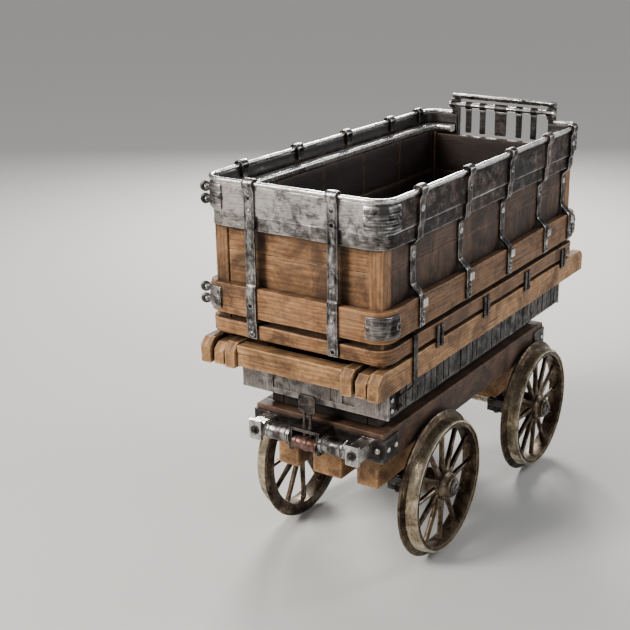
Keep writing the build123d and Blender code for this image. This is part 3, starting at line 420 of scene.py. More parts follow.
def lathe(shape, origin, axis, outline, segments=48, rough=0.0, tone=0.5):
    """Turn an outline of (distance along, radius) about an axis; ends at radius 0 close it."""
    axis = Vector(axis).normalized()
    side = Vector((0, 0, 1)) if abs(axis.z) < 0.9 else Vector((1, 0, 0))
    side = (side - axis * side.dot(axis)).normalized()
    up = axis.cross(side)
    seed = random.uniform(0, 50)
    rings = []
    for along, radius in outline:
        ring = []
        if radius < 1e-6:
            ring = [shape.add(origin + axis * along, (seed, along, 0), tone)]
        else:
            for k in range(segments):
                angle = 2 * math.pi * k / segments
                direction = side * math.cos(angle) + up * math.sin(angle)
                wobble = 0.0
                if rough:
                    place = direction * radius * 20 + axis * (along * 20 + seed)
                    wobble = noise.noise(place) * rough
                point = origin + axis * along + direction * (radius + wobble)
                grain = (angle * radius + seed, along, radius)
                ring.append(shape.add(point, grain, tone))
        rings.append(ring)
    for near, far in zip(rings, rings[1:]):
        if len(near) == 1 and len(far) == 1:
            continue
        for k in range(segments):
            m = (k + 1) % segments
            if len(near) == 1:
                shape.faces.append((near[0], far[k], far[m])[::-1])
            elif len(far) == 1:
                shape.faces.append((near[k], near[m], far[0])[::-1])
            else:
                shape.faces.append((near[k], near[m], far[m], far[k])[::-1])


def torus(shape, centre, axis, major, minor, segments=32, sides=12, tone=0.5):
    """A ring of round section."""
    outline = []
    for k in range(sides + 1):
        angle = 2 * math.pi * k / sides
        outline.append((minor * math.sin(angle), major + minor * math.cos(angle)))
    lathe(shape, centre, axis, outline[::-1], segments, tone=tone)


def rounded_outline(points, cut=0.0015):
    """Soften each inner corner of a lathe outline with two points."""
    soft = [points[0]]
    for before, here, after in zip(points, points[1:], points[2:]):
        here_v = Vector(here)
        for other in (before, after):
            run = Vector(other) - here_v
            share = min(cut / run.length, 0.45) if run.length else 0
            soft.append(tuple(here_v + run * share))
    soft.append(points[-1])
    return soft


# ---------------------------------------------------------------- materials
class Nodes:
    """Short names for making shader nodes."""

    def __init__(self, name):
        self.material = bpy.data.materials.new(name)
        self.material.use_nodes = True
        self.tree = self.material.node_tree
        self.tree.nodes.clear()
        self.shader = self.tree.nodes.new("ShaderNodeBsdfPrincipled")
        output = self.tree.nodes.new("ShaderNodeOutputMaterial")
        self.join(self.shader.outputs[0], output.inputs[0])

    def join(self, source, target):
        self.tree.links.new(source, target)

    def feed(self, socket, value):
        if hasattr(value, "is_output"):
            self.join(value, socket)
        else:
            socket.default_value = value

    def attribute(self, name, output):
        node = self.tree.nodes.new("ShaderNodeAttribute")
        node.attribute_name = name
        return node.outputs[output]

    def place(self):
        return self.tree.nodes.new("ShaderNodeTexCoord").outputs["Object"]

    def stretch(self, vector, factors):
        node = self.tree.nodes.new("ShaderNodeVectorMath")
        node.operation = "MULTIPLY"
        self.join(vector, node.inputs[0])
        node.inputs[1].default_value = factors
        return node.outputs[0]

    def noise(self, vector, scale, detail=4.0, rough=0.55, distortion=0.0):
        node = self.tree.nodes.new("ShaderNodeTexNoise")
        self.join(vector, node.inputs["Vector"])
        node.inputs["Scale"].default_value = scale
        node.inputs["Detail"].default_value = detail
        node.inputs["Roughness"].default_value = rough
        node.inputs["Distortion"].default_value = distortion
        return node.outputs["Fac"]

    def wave(self, vector, scale, distortion, detail=3.0):
        node = self.tree.nodes.new("ShaderNodeTexWave")
        node.wave_type = "RINGS"
        node.rings_direction = "X"
        self.join(vector, node.inputs["Vector"])
        node.inputs["Scale"].default_value = scale
        node.inputs["Distortion"].default_value = distortion
        node.inputs["Detail"].default_value = detail
        node.inputs["Detail Scale"].default_value = 1.4
        return node.outputs["Fac"]

    def math(self, operation, first, second=0.0, clamp=False):
        node = self.tree.nodes.new("ShaderNodeMath")
        node.operation = operation
        node.use_clamp = clamp
        self.feed(node.inputs[0], first)
        self.feed(node.inputs[1], second)
        return node.outputs[0]

    def total(self, *parts):
        """Sum of (value, weight) pairs."""
        scaled = [self.math("MULTIPLY", value, weight) for value, weight in parts]
        result = scaled[0]
        for part in scaled[1:]:
            result = self.math("ADD", result, part)
        return result

    def product(self, *parts):
        result = parts[0]
        for part in parts[1:]:
            result = self.math("MULTIPLY", result, part)
        return result

    def span(self, value, low, high, to_low=0.0, to_high=1.0):
        node = self.tree.nodes.new("ShaderNodeMapRange")
        node.clamp = True
        self.feed(node.inputs["Value"], value)
        node.inputs["From Min"].default_value = low
        node.inputs["From Max"].default_value = high
        node.inputs["To Min"].default_value = to_low
        node.inputs["To Max"].default_value = to_high
        return node.outputs["Result"]

    def ramp(self, value, stops):
        node = self.tree.nodes.new("ShaderNodeValToRGB")
        self.join(value, node.inputs[0])
        elements = node.color_ramp.elements
        elements[0].position, elements[1].position = stops[0][0], stops[-1][0]
        elements[0].color, elements[1].color = (*stops[0][1], 1), (*stops[-1][1], 1)
        for position, colour in stops[1:-1]:
            element = elements.new(position)
            element.color = (*colour, 1)
        return node.outputs["Color"]

    def mix(self, factor, first, second, blend="MIX"):
        node = self.tree.nodes.new("ShaderNodeMix")
        node.data_type = "RGBA"
        node.blend_type = blend
        self.feed(node.inputs["Factor"], factor)
        for socket, value in ((node.inputs[6], first), (node.inputs[7], second)):
            self.feed(socket, value if hasattr(value, "is_output") else (*value, 1))
        return node.outputs[2]

    def bump(self, height, strength, distance):
        node = self.tree.nodes.new("ShaderNodeBump")
        self.join(height, node.inputs["Height"])
        node.inputs["Strength"].default_value = strength
        node.inputs["Distance"].default_value = distance
        self.join(node.outputs[0], self.shader.inputs["Normal"])

    def edges(self, radius, low=0.004, high=0.09):
        """1 along edges, worked out from the difference to a bevelled normal."""
        bevel = self.tree.nodes.new("ShaderNodeBevel")
        bevel.samples = 4
        bevel.inputs["Radius"].default_value = radius
        geometry = self.tree.nodes.new("ShaderNodeNewGeometry")
        dot = self.tree.nodes.new("ShaderNodeVectorMath")
        dot.operation = "DOT_PRODUCT"
        self.join(bevel.outputs[0], dot.inputs[0])
        self.join(geometry.outputs["True Normal"], dot.inputs[1])
        away = self.math("SUBTRACT", 1.0, dot.outputs["Value"])
        return self.span(away, low, high)

    def crevices(self, distance):
        """1 in corners and under overlaps."""
        node = self.tree.nodes.new("ShaderNodeAmbientOcclusion")
        node.samples = 6
        node.inputs["Distance"].default_value = distance
        return self.math("SUBTRACT", 1.0, node.outputs["AO"])


def within_box(n, place, side, front, rear, bottom, top=None):
    """1 between the given planes, with the same distance to both sides, and 0 outside."""
    split = n.tree.nodes.new("ShaderNodeSeparateXYZ")
    n.join(place, split.inputs[0])
    x, y, z = (split.outputs[axis] for axis in "XYZ")
    tests = [n.math("LESS_THAN", n.math("ABSOLUTE", x), side), n.math("GREATER_THAN", y, front),
             n.math("LESS_THAN", y, rear), n.math("GREATER_THAN", z, bottom)]
    if top is not None:
        tests.append(n.math("LESS_THAN", z, top))
    return n.product(*tests)


def tub_inside_shade_mask(n, place):
    """1 on the surfaces that face into the tub; the timber paints shade there."""
    reach = 0.006
    return within_box(n, place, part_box("right_wall")[0].x + reach,
                      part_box("front_wall")[1].y - reach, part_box("rear_wall")[0].y + reach,
                      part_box("floor_boards")[1].z - 0.002)


def rim_inside_shade_mask(n, place):
    """1 on the faces of the bands and straps that look into the tub; the steel paints shade there.
    """
    low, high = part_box("upper_band")
    wall = BAND_THICKNESS * 0.8
    return within_box(n, place, high.x - wall, low.y + wall, high.y - wall,
                      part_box("wall_capping")[1].z + 0.001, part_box("rim_bead")[0].z - 0.001)


def timber_material(name, dark, middle, light, weather=0.25, rough=0.62, tub=False):
    """Weathered hardwood with growth rings, fibres and stains, painted shade in corners and by
    tone, and edges lightened as wear and as a painted highlight; with tub set, painted shade
    inside the tub.
    """
    n = Nodes(name)
    grain = n.attribute("grain", "Vector")
    tone = n.attribute("tone", "Fac")
    place = n.place()
    figure = n.wave(n.stretch(grain, (0.6, 7.0, 9.0)), 3.4, 7.0)
    broad = n.noise(n.stretch(grain, (7.0, 48.0, 48.0)), 1.0, 7.0, 0.66, 1.2)
    fibre = n.noise(n.stretch(grain, (26.0, 300.0, 300.0)), 1.0, 4.0, 0.66)
    split = n.noise(n.stretch(grain, (4.5, 110.0, 110.0)), 1.0, 2.0, 0.4)
    mottle = n.noise(place, 34.0, 7.0, 0.70, 0.8)
    stain = n.noise(place, 6.5, 6.0, 0.66, 0.8)
    mixed = n.total((figure, 0.08), (broad, 0.34), (fibre, 0.28), (mottle, 0.30))
    colour = n.ramp(mixed, ((0.34, dark), (0.48, middle), (0.64, light)))
    # Painted light and shade: the tone, random per board and set by facing on the belts, scales
    # the colour.
    shade = n.span(tone, 0.0, 1.0, 0.42, 1.18)
    colour = n.mix(1.0, colour, n.mix(shade, (0, 0, 0), (1, 1, 1)), "MULTIPLY")
    grey = n.math("MULTIPLY", n.span(stain, 0.52, 0.70), weather)
    colour = n.mix(grey, colour, (0.135, 0.110, 0.090))
    cracks = n.span(split, 0.325, 0.295)
    colour = n.mix(n.math("MULTIPLY", cracks, 0.85), colour, (0.012, 0.008, 0.005))
    soot = n.math("MULTIPLY", n.span(stain, 0.55, 0.36), 0.80)
    colour = n.mix(soot, colour, tuple(c * 0.42 for c in dark))
    # Painted shade: darker in corners and where parts meet, from ambient occlusion.
    corner_shade = n.math("MULTIPLY", n.span(n.crevices(0.070), 0.16, 0.72), 0.88)
    colour = n.mix(corner_shade, colour, (0.012, 0.007, 0.005))
    # Painted shade on the faces inside the tub.
    if tub:
        inside_shade = n.math("MULTIPLY", tub_inside_shade_mask(n, place), n.span(broad, 0.3, 0.7, 0.97, 0.86))
        colour = n.mix(inside_shade, colour, (0.010, 0.0045, 0.003))
    # Edges lightened: partly wear, partly a painted highlight.
    worn = n.math("MULTIPLY", n.edges(0.004), n.span(mottle, 0.36, 0.54, 0.05, 0.85))
    n.join(n.mix(worn, colour, tuple(min(1.0, c * 1.45 + 0.02) for c in light)),
           n.shader.inputs["Base Color"])
    n.join(n.span(fibre, 0.3, 0.7, rough - 0.16, rough + 0.16), n.shader.inputs["Roughness"])
    n.bump(n.total((fibre, 0.55), (broad, 0.55), (cracks, -1.5)), 0.50, 0.0016)
    n.shader.inputs["Specular IOR Level"].default_value = 0.40
    return n.material


def metal_material(name, dark, middle, bright, rust, rust_amount=0.3, rough=0.42,
                   scratch=(4, 4, 60), pit=0.5, metallic=1.0, paint_shade=False):
    """Worn metal: mottled patina, rust in corners, fine scratches, pits and rubbed edges that are
    also a painted highlight; with painted shade on, the tone paints light and shade and the faces
    inside the rim are painted dark as shade.
    """
    n = Nodes(name)
    place = n.place()
    blotch = n.noise(place, 22.0, 8.0, 0.68, 0.7)
    cloud = n.noise(place, 4.5, 5.0, 0.62, 0.8)
    speck = n.noise(place, 130.0, 3.0, 0.6)
    streak = n.noise(n.stretch(place, scratch), 6.0, 6.0, 0.72)
    mixed = n.total((blotch, 0.44), (streak, 0.30), (cloud, 0.26))
    # Painted light and shade: a low tone darkens the colour and a high tone lightens it.
    if paint_shade:
        tone = n.attribute("tone", "Fac")
        mixed = n.math("ADD", mixed, n.span(tone, 0.0, 1.0, -0.125, 0.055))
    colour = n.ramp(mixed, ((0.41, dark), (0.50, middle), (0.60, bright)))
    corners = n.crevices(0.035)
    rusty = n.math("ADD", n.span(cloud, 0.50, 0.68), n.span(corners, 0.20, 0.75))
    rusty = n.math("MULTIPLY", rusty, n.span(blotch, 0.40, 0.58, 0.10, 1.0))
    rusty = n.math("MULTIPLY", rusty, rust_amount, clamp=True)
    colour = n.mix(rusty, colour, rust)
    pits = n.span(speck, 0.37, 0.31)
    colour = n.mix(n.math("MULTIPLY", pits, pit), colour, (0.015, 0.012, 0.010))
    # Edges lightened: partly rubbed wear, partly a painted highlight.
    worn = n.math("MULTIPLY", n.edges(0.003), n.span(blotch, 0.36, 0.54, 0.15, 0.95))
    # Painted shade on the faces inside the rim: a dark colour.
    if paint_shade:
        inside_shade = n.math("MULTIPLY", rim_inside_shade_mask(n, place), n.span(streak, 0.35, 0.65, 0.97, 0.80))
        worn = n.math("MULTIPLY", worn, n.math("SUBTRACT", 1.0, inside_shade))
        colour = n.mix(inside_shade, colour, (0.014, 0.010, 0.009))
    edge_highlight = tuple(min(1.0, c * 1.35 + 0.10) for c in bright)
    n.join(n.mix(worn, colour, edge_highlight), n.shader.inputs["Base Color"])
    shine = n.math("ADD", n.span(blotch, 0.34, 0.66, rough + 0.18, rough - 0.12),
                   n.math("MULTIPLY", rusty, 0.35))
    shine = n.math("SUBTRACT", shine, n.math("MULTIPLY", worn, 0.12), clamp=True)
    n.join(shine, n.shader.inputs["Roughness"])
    shown = n.math("SUBTRACT", metallic, n.math("MULTIPLY", rusty, 0.7), clamp=True)
    # Painted shade: no metallic on the faces inside the rim.
    if paint_shade:
        shown = n.math("MULTIPLY", shown, n.math("SUBTRACT", 1.0, inside_shade))
    n.join(shown, n.shader.inputs["Metallic"])
    n.bump(n.total((blotch, 0.7), (speck, 0.22), (streak, 0.25), (pits, -0.35)), 0.50, 0.0018)
    return n.material


RUST = (0.085, 0.036, 0.020)
# The front timber is the lit copy; the next one is a much darker copy of the same timber for the
# sides, rear and headers: painted light and shade.
FRONT_WOOD = timber_material("front_timber", (0.070, 0.027, 0.010), (0.245, 0.112, 0.042),
                             (0.460, 0.245, 0.105), tub=True)
SHADED_WOOD = timber_material("shaded_side_timber", (0.020, 0.009, 0.005), (0.070, 0.032, 0.016),
                            (0.165, 0.086, 0.045), weather=0.35, tub=True)
GOLD_WOOD = timber_material("end_timber", (0.110, 0.044, 0.015), (0.340, 0.168, 0.064),
                            (0.620, 0.365, 0.165), weather=0.12)
DARK_WOOD = timber_material("dark_timber", (0.008, 0.005, 0.004), (0.024, 0.015, 0.010),
                            (0.060, 0.038, 0.026), weather=0.2, rough=0.72)
STEEL = metal_material("band_steel", (0.018, 0.015, 0.014), (0.180, 0.166, 0.156),
                       (0.720, 0.700, 0.670), RUST, rust_amount=0.85, rough=0.38, paint_shade=True)
STRAP = metal_material("strap_steel", (0.010, 0.008, 0.008), (0.120, 0.112, 0.106),
                       (0.640, 0.620, 0.595), RUST, rust_amount=0.6, rough=0.29,
                       scratch=(30, 30, 8), paint_shade=True)
BRIGHT = metal_material("rubbed_steel", (0.200, 0.190, 0.180), (0.560, 0.545, 0.520),
                        (0.820, 0.800, 0.770), RUST, rust_amount=0.22, rough=0.28, pit=0.3)
PLATE = metal_material("plate_steel", (0.070, 0.058, 0.052), (0.250, 0.225, 0.210),
                       (0.480, 0.450, 0.430), RUST, rust_amount=0.8, rough=0.52,
                       scratch=(40, 40, 5), metallic=0.75)
# A darker copy of the plate steel for the box sides: painted shade.
SHADED_BATTEN = metal_material("shaded_batten_iron", (0.010, 0.009, 0.009), (0.040, 0.037, 0.035),
                        (0.150, 0.143, 0.138), RUST, rust_amount=0.35, rough=0.48,
                        scratch=(60, 60, 5), metallic=0.8)
IRON = metal_material("dark_iron", (0.012, 0.011, 0.010), (0.042, 0.038, 0.036),
                      (0.150, 0.138, 0.130), RUST, rust_amount=0.35, rough=0.42)
WHEEL = metal_material("wheel_metal", (0.018, 0.012, 0.009), (0.066, 0.044, 0.029),
                       (0.250, 0.190, 0.125), (0.040, 0.020, 0.012), rust_amount=0.40,
                       rough=0.36, scratch=(60, 6, 6))
TREAD = metal_material("polished_tread", (0.120, 0.090, 0.058), (0.400, 0.325, 0.220),
                       (0.780, 0.690, 0.520), (0.080, 0.044, 0.026), rust_amount=0.30,
                       rough=0.27, scratch=(90, 5, 5), pit=0.3)
DRUM = metal_material("drum_metal", (0.035, 0.014, 0.011), (0.085, 0.038, 0.030),
                      (0.200, 0.110, 0.090), RUST, rust_amount=0.5, rough=0.38)


def stand_for(obj, *nodes):
    """The piece rides where its nodes ride, and replaces them."""
    body = frame["nodes"][nodes[0]]["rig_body"]
    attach(obj, body)
    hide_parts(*nodes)
    return obj


def keep_cad(node, material, bevel=0.0025):
    """A CAD node whose shape is right: a better material and softened edges."""
    obj = frame["nodes"][node]
    obj.data.materials.clear()
    obj.data.materials.append(material)
    modifier = obj.modifiers.new("soft_edges", "BEVEL")
    modifier.width = bevel
    modifier.segments = 2
    modifier.limit_method = "ANGLE"
    modifier.angle_limit = math.radians(35)
    modifier.harden_normals = False


def piece(node, name, material, draw):
    """One piece for a node; draw adds the mesh of each of its solids."""
    shape = Shape()
    for low, high in solids(node):
        draw(shape, low, high)
    stand_for(shape.build(name, material), node)


# ---------------------------------------------------------------- timber
def timbers(node, material, name, radius=0.004, rough=0.0012, step=0.022, tones=(0.3, 0.7),
            slope=None):
    """Each solid of a node as its own worn timber, in one piece."""
    piece(node, name, material, lambda shape, low, high: board(
        shape, low, high, radius, step, rough, random.uniform(*tones), slope))


def make_timbers():
    slope = (BEAM_SLOPE_LENGTH, BEAM_SLOPE_DROP)
    # Each board takes a random tone within its range; the front wall's range is set higher and the
    # side walls' lower, painting light and shade.
    timbers("front_wall", FRONT_WOOD, "front_wall_boards", 0.0022, 0.0008, tones=(0.55, 0.75))
    timbers("rear_wall", SHADED_WOOD, "rear_wall_boards", 0.0022, 0.0008)
    timbers("left_wall", SHADED_WOOD, "left_wall_boards", 0.0022, 0.0008, tones=(0.2, 0.6))
    timbers("right_wall", SHADED_WOOD, "right_wall_boards", 0.0022, 0.0008, tones=(0.2, 0.6))
    timbers("corner_posts", FRONT_WOOD, "tub_posts", 0.0045, 0.0012, tones=(0.40, 0.62))
    timbers("floor_boards", DARK_WOOD, "tub_floor", 0.004, 0.0016)
    timbers("outer_beam_left", GOLD_WOOD, "left_outer_timber", 0.0032, 0.0016, slope=slope)
    timbers("outer_beam_right", GOLD_WOOD, "right_outer_timber", 0.0032, 0.0016, slope=slope)
    timbers("inner_beams", GOLD_WOOD, "inner_timbers", 0.0032, 0.0016, slope=slope)
    timbers("cross_beams", GOLD_WOOD, "end_timbers", 0.0036, 0.0018, tones=(0.6, 0.8))
    timbers("frame_sills", SHADED_WOOD, "underframe_sills", 0.0036, 0.0018, tones=(0.55, 0.75))
    timbers("front_headstock", SHADED_WOOD, "front_header", 0.0036, 0.0016)
    timbers("rear_headstock", SHADED_WOOD, "rear_header", 0.0036, 0.0016)
    timbers("frame_crossbars", DARK_WOOD, "cross_timbers", 0.005, 0.0014, step=0.03)
    timbers("axle_bearers", GOLD_WOOD, "bearer_timbers", 0.0040, 0.0020, tones=(0.35, 0.6))
    timbers("body_bolsters", DARK_WOOD, "packing_timbers", 0.005, 0.0014, step=0.04)


def make_belts():
    for node, name, thickness in (
        ("wood_band", "bent_wood_belt", BELT_THICKNESS),
        ("base_rail", "bent_foot_rail", RAIL_THICKNESS),
    ):
        shape = Shape()
        # The tones paint each belt lighter on the front and darker on the sides: painted light and
        # shade.
        loop_band(shape, node, thickness, TIMBER_CORNER, 0.004, 0.0016, (0.80, 0.22),
                  side_points=6, rise=0.006 if node == "wood_band" else 0.002)
        stand_for(shape.build(name, FRONT_WOOD), node)


# ---------------------------------------------------------------- bands
def gate_gap_of(node):
    """Half the gap of an open band at the rear, from the CAD solid's vertices."""
    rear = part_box(node)[1].y - BAND_THICKNESS / 2
    xs = [abs(v.co.x) for v in frame["nodes"][node].data.vertices if v.co.y > rear]
    return min(xs)


def make_bands():
    # Each band's tone pair is (front, side): lighter on the front, darker on the sides, painted
    # light and shade.
    for node, name, material, thickness, corner, edge, rough, tones, points, step in (
        ("upper_band", "main_band", STEEL, BAND_THICKNESS, BAND_CORNER, 0.0022, 0.0014,
         (0.95, 0.10), 8, 0.016),
        ("strip_band", "lower_strip", STEEL, STRIP_THICKNESS, TIMBER_CORNER, 0.0025, 0.0016,
         (0.72, 0.05), 6, 0.016),
        ("rim_bead", "rim_roll", BRIGHT, BEAD_WIDTH, BAND_CORNER + 0.008, 0.0070, 0.0010,
         (0.6, 0.6), 1, 0.016),
        ("wall_capping", "wall_top_capping", BRIGHT, CAPPING_WIDTH, TIMBER_CORNER, 0.008, 0.0012,
         (0.7, 0.7), 3, 0.02),
    ):
        shape = Shape()
        gap = 0.0 if node == "strip_band" else gate_gap_of(node)
        loop_band(shape, node, thickness, corner, edge, rough, tones, gap, points, step)
        stand_for(shape.build(name, material), node)


# ---------------------------------------------------------------- straps
def strap_levels():
    """Outward faces and heights that the straps follow."""
    names = {"bead": "rim_bead", "band": "upper_band", "strip": "strip_band",
             "belt": "wood_band", "rail": "base_rail"}
    return {key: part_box(node) for key, node in names.items()}


def make_side_straps():
    levels = strap_levels()
    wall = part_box("right_wall")[1].x
    bead, band, strip, belt = (levels[k] for k in ("bead", "band", "strip", "belt"))
    inside = bead[1].x - BEAD_WIDTH
    line = [
        (inside, bead[0].z - 0.030), (inside, bead[1].z), (bead[1].x, bead[1].z),
        (bead[1].x, bead[0].z - 0.002), (band[1].x, bead[0].z - 0.013),
        (band[1].x, band[0].z), (strip[1].x, band[0].z - 0.006), (strip[1].x, strip[0].z),
        (wall, strip[0].z - 0.024), (wall, belt[1].z + 0.034), (belt[1].x, belt[1].z),
        (belt[1].x, belt[0].z + 0.008),
    ]

    def draw(shape, low, high):
        sign = 1 if low.x > 0 else -1
        y = (low.y + high.y) / 2
        inner = [Vector((sign * x, y, z)) for x, z in line]
        # A low tone paints the side straps darker: painted shade.
        strap(shape, inner, Vector((0, -sign, 0)), high.y - low.y, knuckle=0.8,
              tone=random.uniform(0.25, 0.45))

    for node in ("left_straps", "right_straps"):
        piece(node, node.replace("straps", "side_straps"), STRAP, draw)


def make_front_straps():
    levels = strap_levels()
    bead, band, belt, rail = (levels[k] for k in ("bead", "band", "belt", "rail"))
    inside = bead[0].y + BEAD_WIDTH
    line = [
        (inside, bead[0].z - 0.030), (inside, bead[1].z), (bead[0].y, bead[1].z),
        (bead[0].y, bead[0].z - 0.002), (band[0].y, bead[0].z - 0.013),
        (band[0].y, belt[1].z + 0.013), (belt[0].y, belt[1].z), (belt[0].y, belt[0].z),
        (rail[0].y, rail[1].z - 0.004), (rail[0].y, rail[0].z + 0.006),
    ]

    def draw(shape, low, high):
        x = (low.x + high.x) / 2
        inner = [Vector((x, y, z)) for y, z in line]
        # A high tone paints the front straps lighter: painted light.
        strap(shape, inner, -ACROSS, high.x - low.x, knuckle=0.35, tone=0.8)

    piece("front_straps", "front_rim_straps", STRAP, draw)


def facing(low, high):
    """Centre of the seat of a small head and the direction it faces, out of the cart."""
    size = high - low
    axis = min(range(3), key=lambda i: size[i])
    middle = (low + high) / 2
    sign = 1 if middle[axis] > 0 else -1
    normal = Vector((0, 0, 0))
    normal[axis] = sign
    seat = middle.copy()
    seat[axis] = low[axis] if sign > 0 else high[axis]
    return seat, normal, max(size) / 2, size[axis]


def dome(shape, seat, normal, radius, height, washer=0.0):
    """A hammered domed head, with a washer under it where one is asked for."""
    outline = [(0.0, radius * (1 + washer))]
    if washer:
        outline += [(height * 0.22, radius * (1 + washer)), (height * 0.26, radius * 0.98)]
    for step in range(1, 6):
        angle = math.pi / 2 * step / 6
        outline.append((height * (0.26 + 0.74 * math.sin(angle)), radius * 0.96 * math.cos(angle)))
    outline.append((height, 0.0))
    lathe(shape, seat, normal, outline, 20, rough=radius * 0.05, tone=random.random())


def make_heads():
    piece("strap_rivets", "strap_rivet_heads", STRAP,
          lambda shape, low, high: dome(shape, *facing(low, high), washer=0.22))
    piece("frame_bolts", "frame_bolt_heads", BRIGHT,
          lambda shape, low, high: dome(shape, *facing(low, high)))


def draw_clip(shape, low, high):
    """A flat iron with a small rivet near each end."""
    board(shape, low, high, 0.0025, 0.008, 0.0005, 0.5, axis=2)
    sign = 1 if low.x + high.x > 0 else -1
    for z in (low.z + 0.012, high.z - 0.014):
        seat = Vector((high.x if sign > 0 else low.x, (low.y + high.y) / 2, z))
        dome(shape, seat - ACROSS * (sign * 0.001), ACROSS * sign, 0.0055, 0.004)


def corner_path(cx, cy, sx, sy, radius, reach_x, reach_y):
    """Points and outward normals round a corner, with a straight leg at each end."""
    path = []
    for i in range(5):
        x = cx - sx * reach_x * PLATE_REACH_SHARE * (1 - i / 4)
        path.append((Vector((x, cy + sy * radius, 0)), Vector((0, sy, 0))))
    for i in range(1, 13):
        angle = math.pi / 2 * i / 12
        normal = Vector((sx * math.sin(angle), sy * math.cos(angle), 0))
        path.append((Vector((cx, cy, 0)) + normal * radius, normal))
    for i in range(1, 5):
        y = cy - sy * reach_y * PLATE_REACH_SHARE * i / 4
        path.append((Vector((cx + sx * radius, y, 0)), Vector((sx, 0, 0))))
    return path[::-1] if sx * sy < 0 else path


def ribbed_profile(thickness, height, ribs):
    """Section of a pressed plate, flat at the back and ribbed at the front."""
    profile = [(-thickness / 2, height / 2), (-thickness / 2, -height / 2)]
    count = ribs * 8
    for i in range(count + 1):
        swell = max(0.0, math.sin(math.pi * (i / 8 * 2 - 0.5))) * PLATE_RIB
        edge = 0.0015 if i in (0, count) else 0.0
        profile.append((thickness / 2 + swell - edge, -height / 2 + height * i / count))
    return profile


def draw_corner_plate(shape, low, high):
    """A bent corner plate with pressed ribs and two rivets."""
    middle = (low + high) / 2
    sx = 1 if middle.x > 0 else -1
    sy = 1 if middle.y > TUB_MIDDLE_Y else -1
    upper = low.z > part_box("wood_band")[1].z
    thickness = UPPER_PLATE_THICKNESS if upper else LOWER_PLATE_THICKNESS
    radius = (BAND_CORNER if upper else TIMBER_CORNER) + thickness / 2
    cx = sx * ((high.x if sx > 0 else -low.x) - thickness / 2 - radius)
    cy = (high.y if sy > 0 else low.y) - sy * (thickness / 2 + radius)
    path = corner_path(cx, cy, sx, sy, radius, high.x - low.x - radius,
                       high.y - low.y - radius)
    profile = ribbed_profile(thickness, high.z - low.z, 4 if upper else 2)
    frames = []
    distance = 0.0
    for i, (point, normal) in enumerate(path):
        if i:
            distance += (point - path[i - 1][0]).length
        frames.append((point + UP * middle.z, normal, UP, distance))
    first = len(shape.points)
    sweep(shape, frames, profile, rough=0.0004, seed=random.uniform(0, 50))
    # Tones paint the plate lighter where it faces the front and darker on the sides: painted light
    # and shade.
    paint_facing_shade(shape, first, [(point, normal, 0) for point, normal in path], len(profile),
                 0.55, 0.16)
    for point, normal in (path[3], path[-4]):
        dome(shape, point + UP * middle.z + normal * (thickness / 2), normal, 0.0095, 0.0065)


def draw_ring_bolt(shape, low, high):
    """A ring-headed bolt that stands out of a corner plate on the left front corner."""
    outward = Vector((-math.cos(RING_BOLT_ANGLE), -math.sin(RING_BOLT_ANGLE), 0))
    across = Vector((math.sin(RING_BOLT_ANGLE), -math.cos(RING_BOLT_ANGLE), 0.12))
    centre = Vector((low.x - outward.x * RING_RADIUS + RING_WIRE,
                     low.y - outward.y * RING_RADIUS + RING_WIRE, (low.z + high.z) / 2))
    outline = rounded_outline([(0, 0.0), (0, 0.0130), (0.0045, 0.0130), (0.0075, 0.0108),
                               (0.0145, 0.0098), (0.0150, 0.0)])
    lathe(shape, centre - outward * RING_FOOT_REACH, outward, outline, 24, rough=0.0003)
    torus(shape, centre - outward * 0.006, across, 0.0108, 0.0074, tone=0.2)


def make_fittings():
    piece("strap_clamps", "clamp_blocks", BRIGHT,
          lambda shape, low, high: board(shape, low, high, 0.0035, 0.006, 0.0006, 0.7, axis=2))
    piece("rail_clips", "foot_rail_clips", IRON, draw_clip)
    piece("corner_plates", "bent_corner_plates", STEEL, draw_corner_plate)
    piece("eye_bolts", "ring_bolts", IRON, draw_ring_bolt)


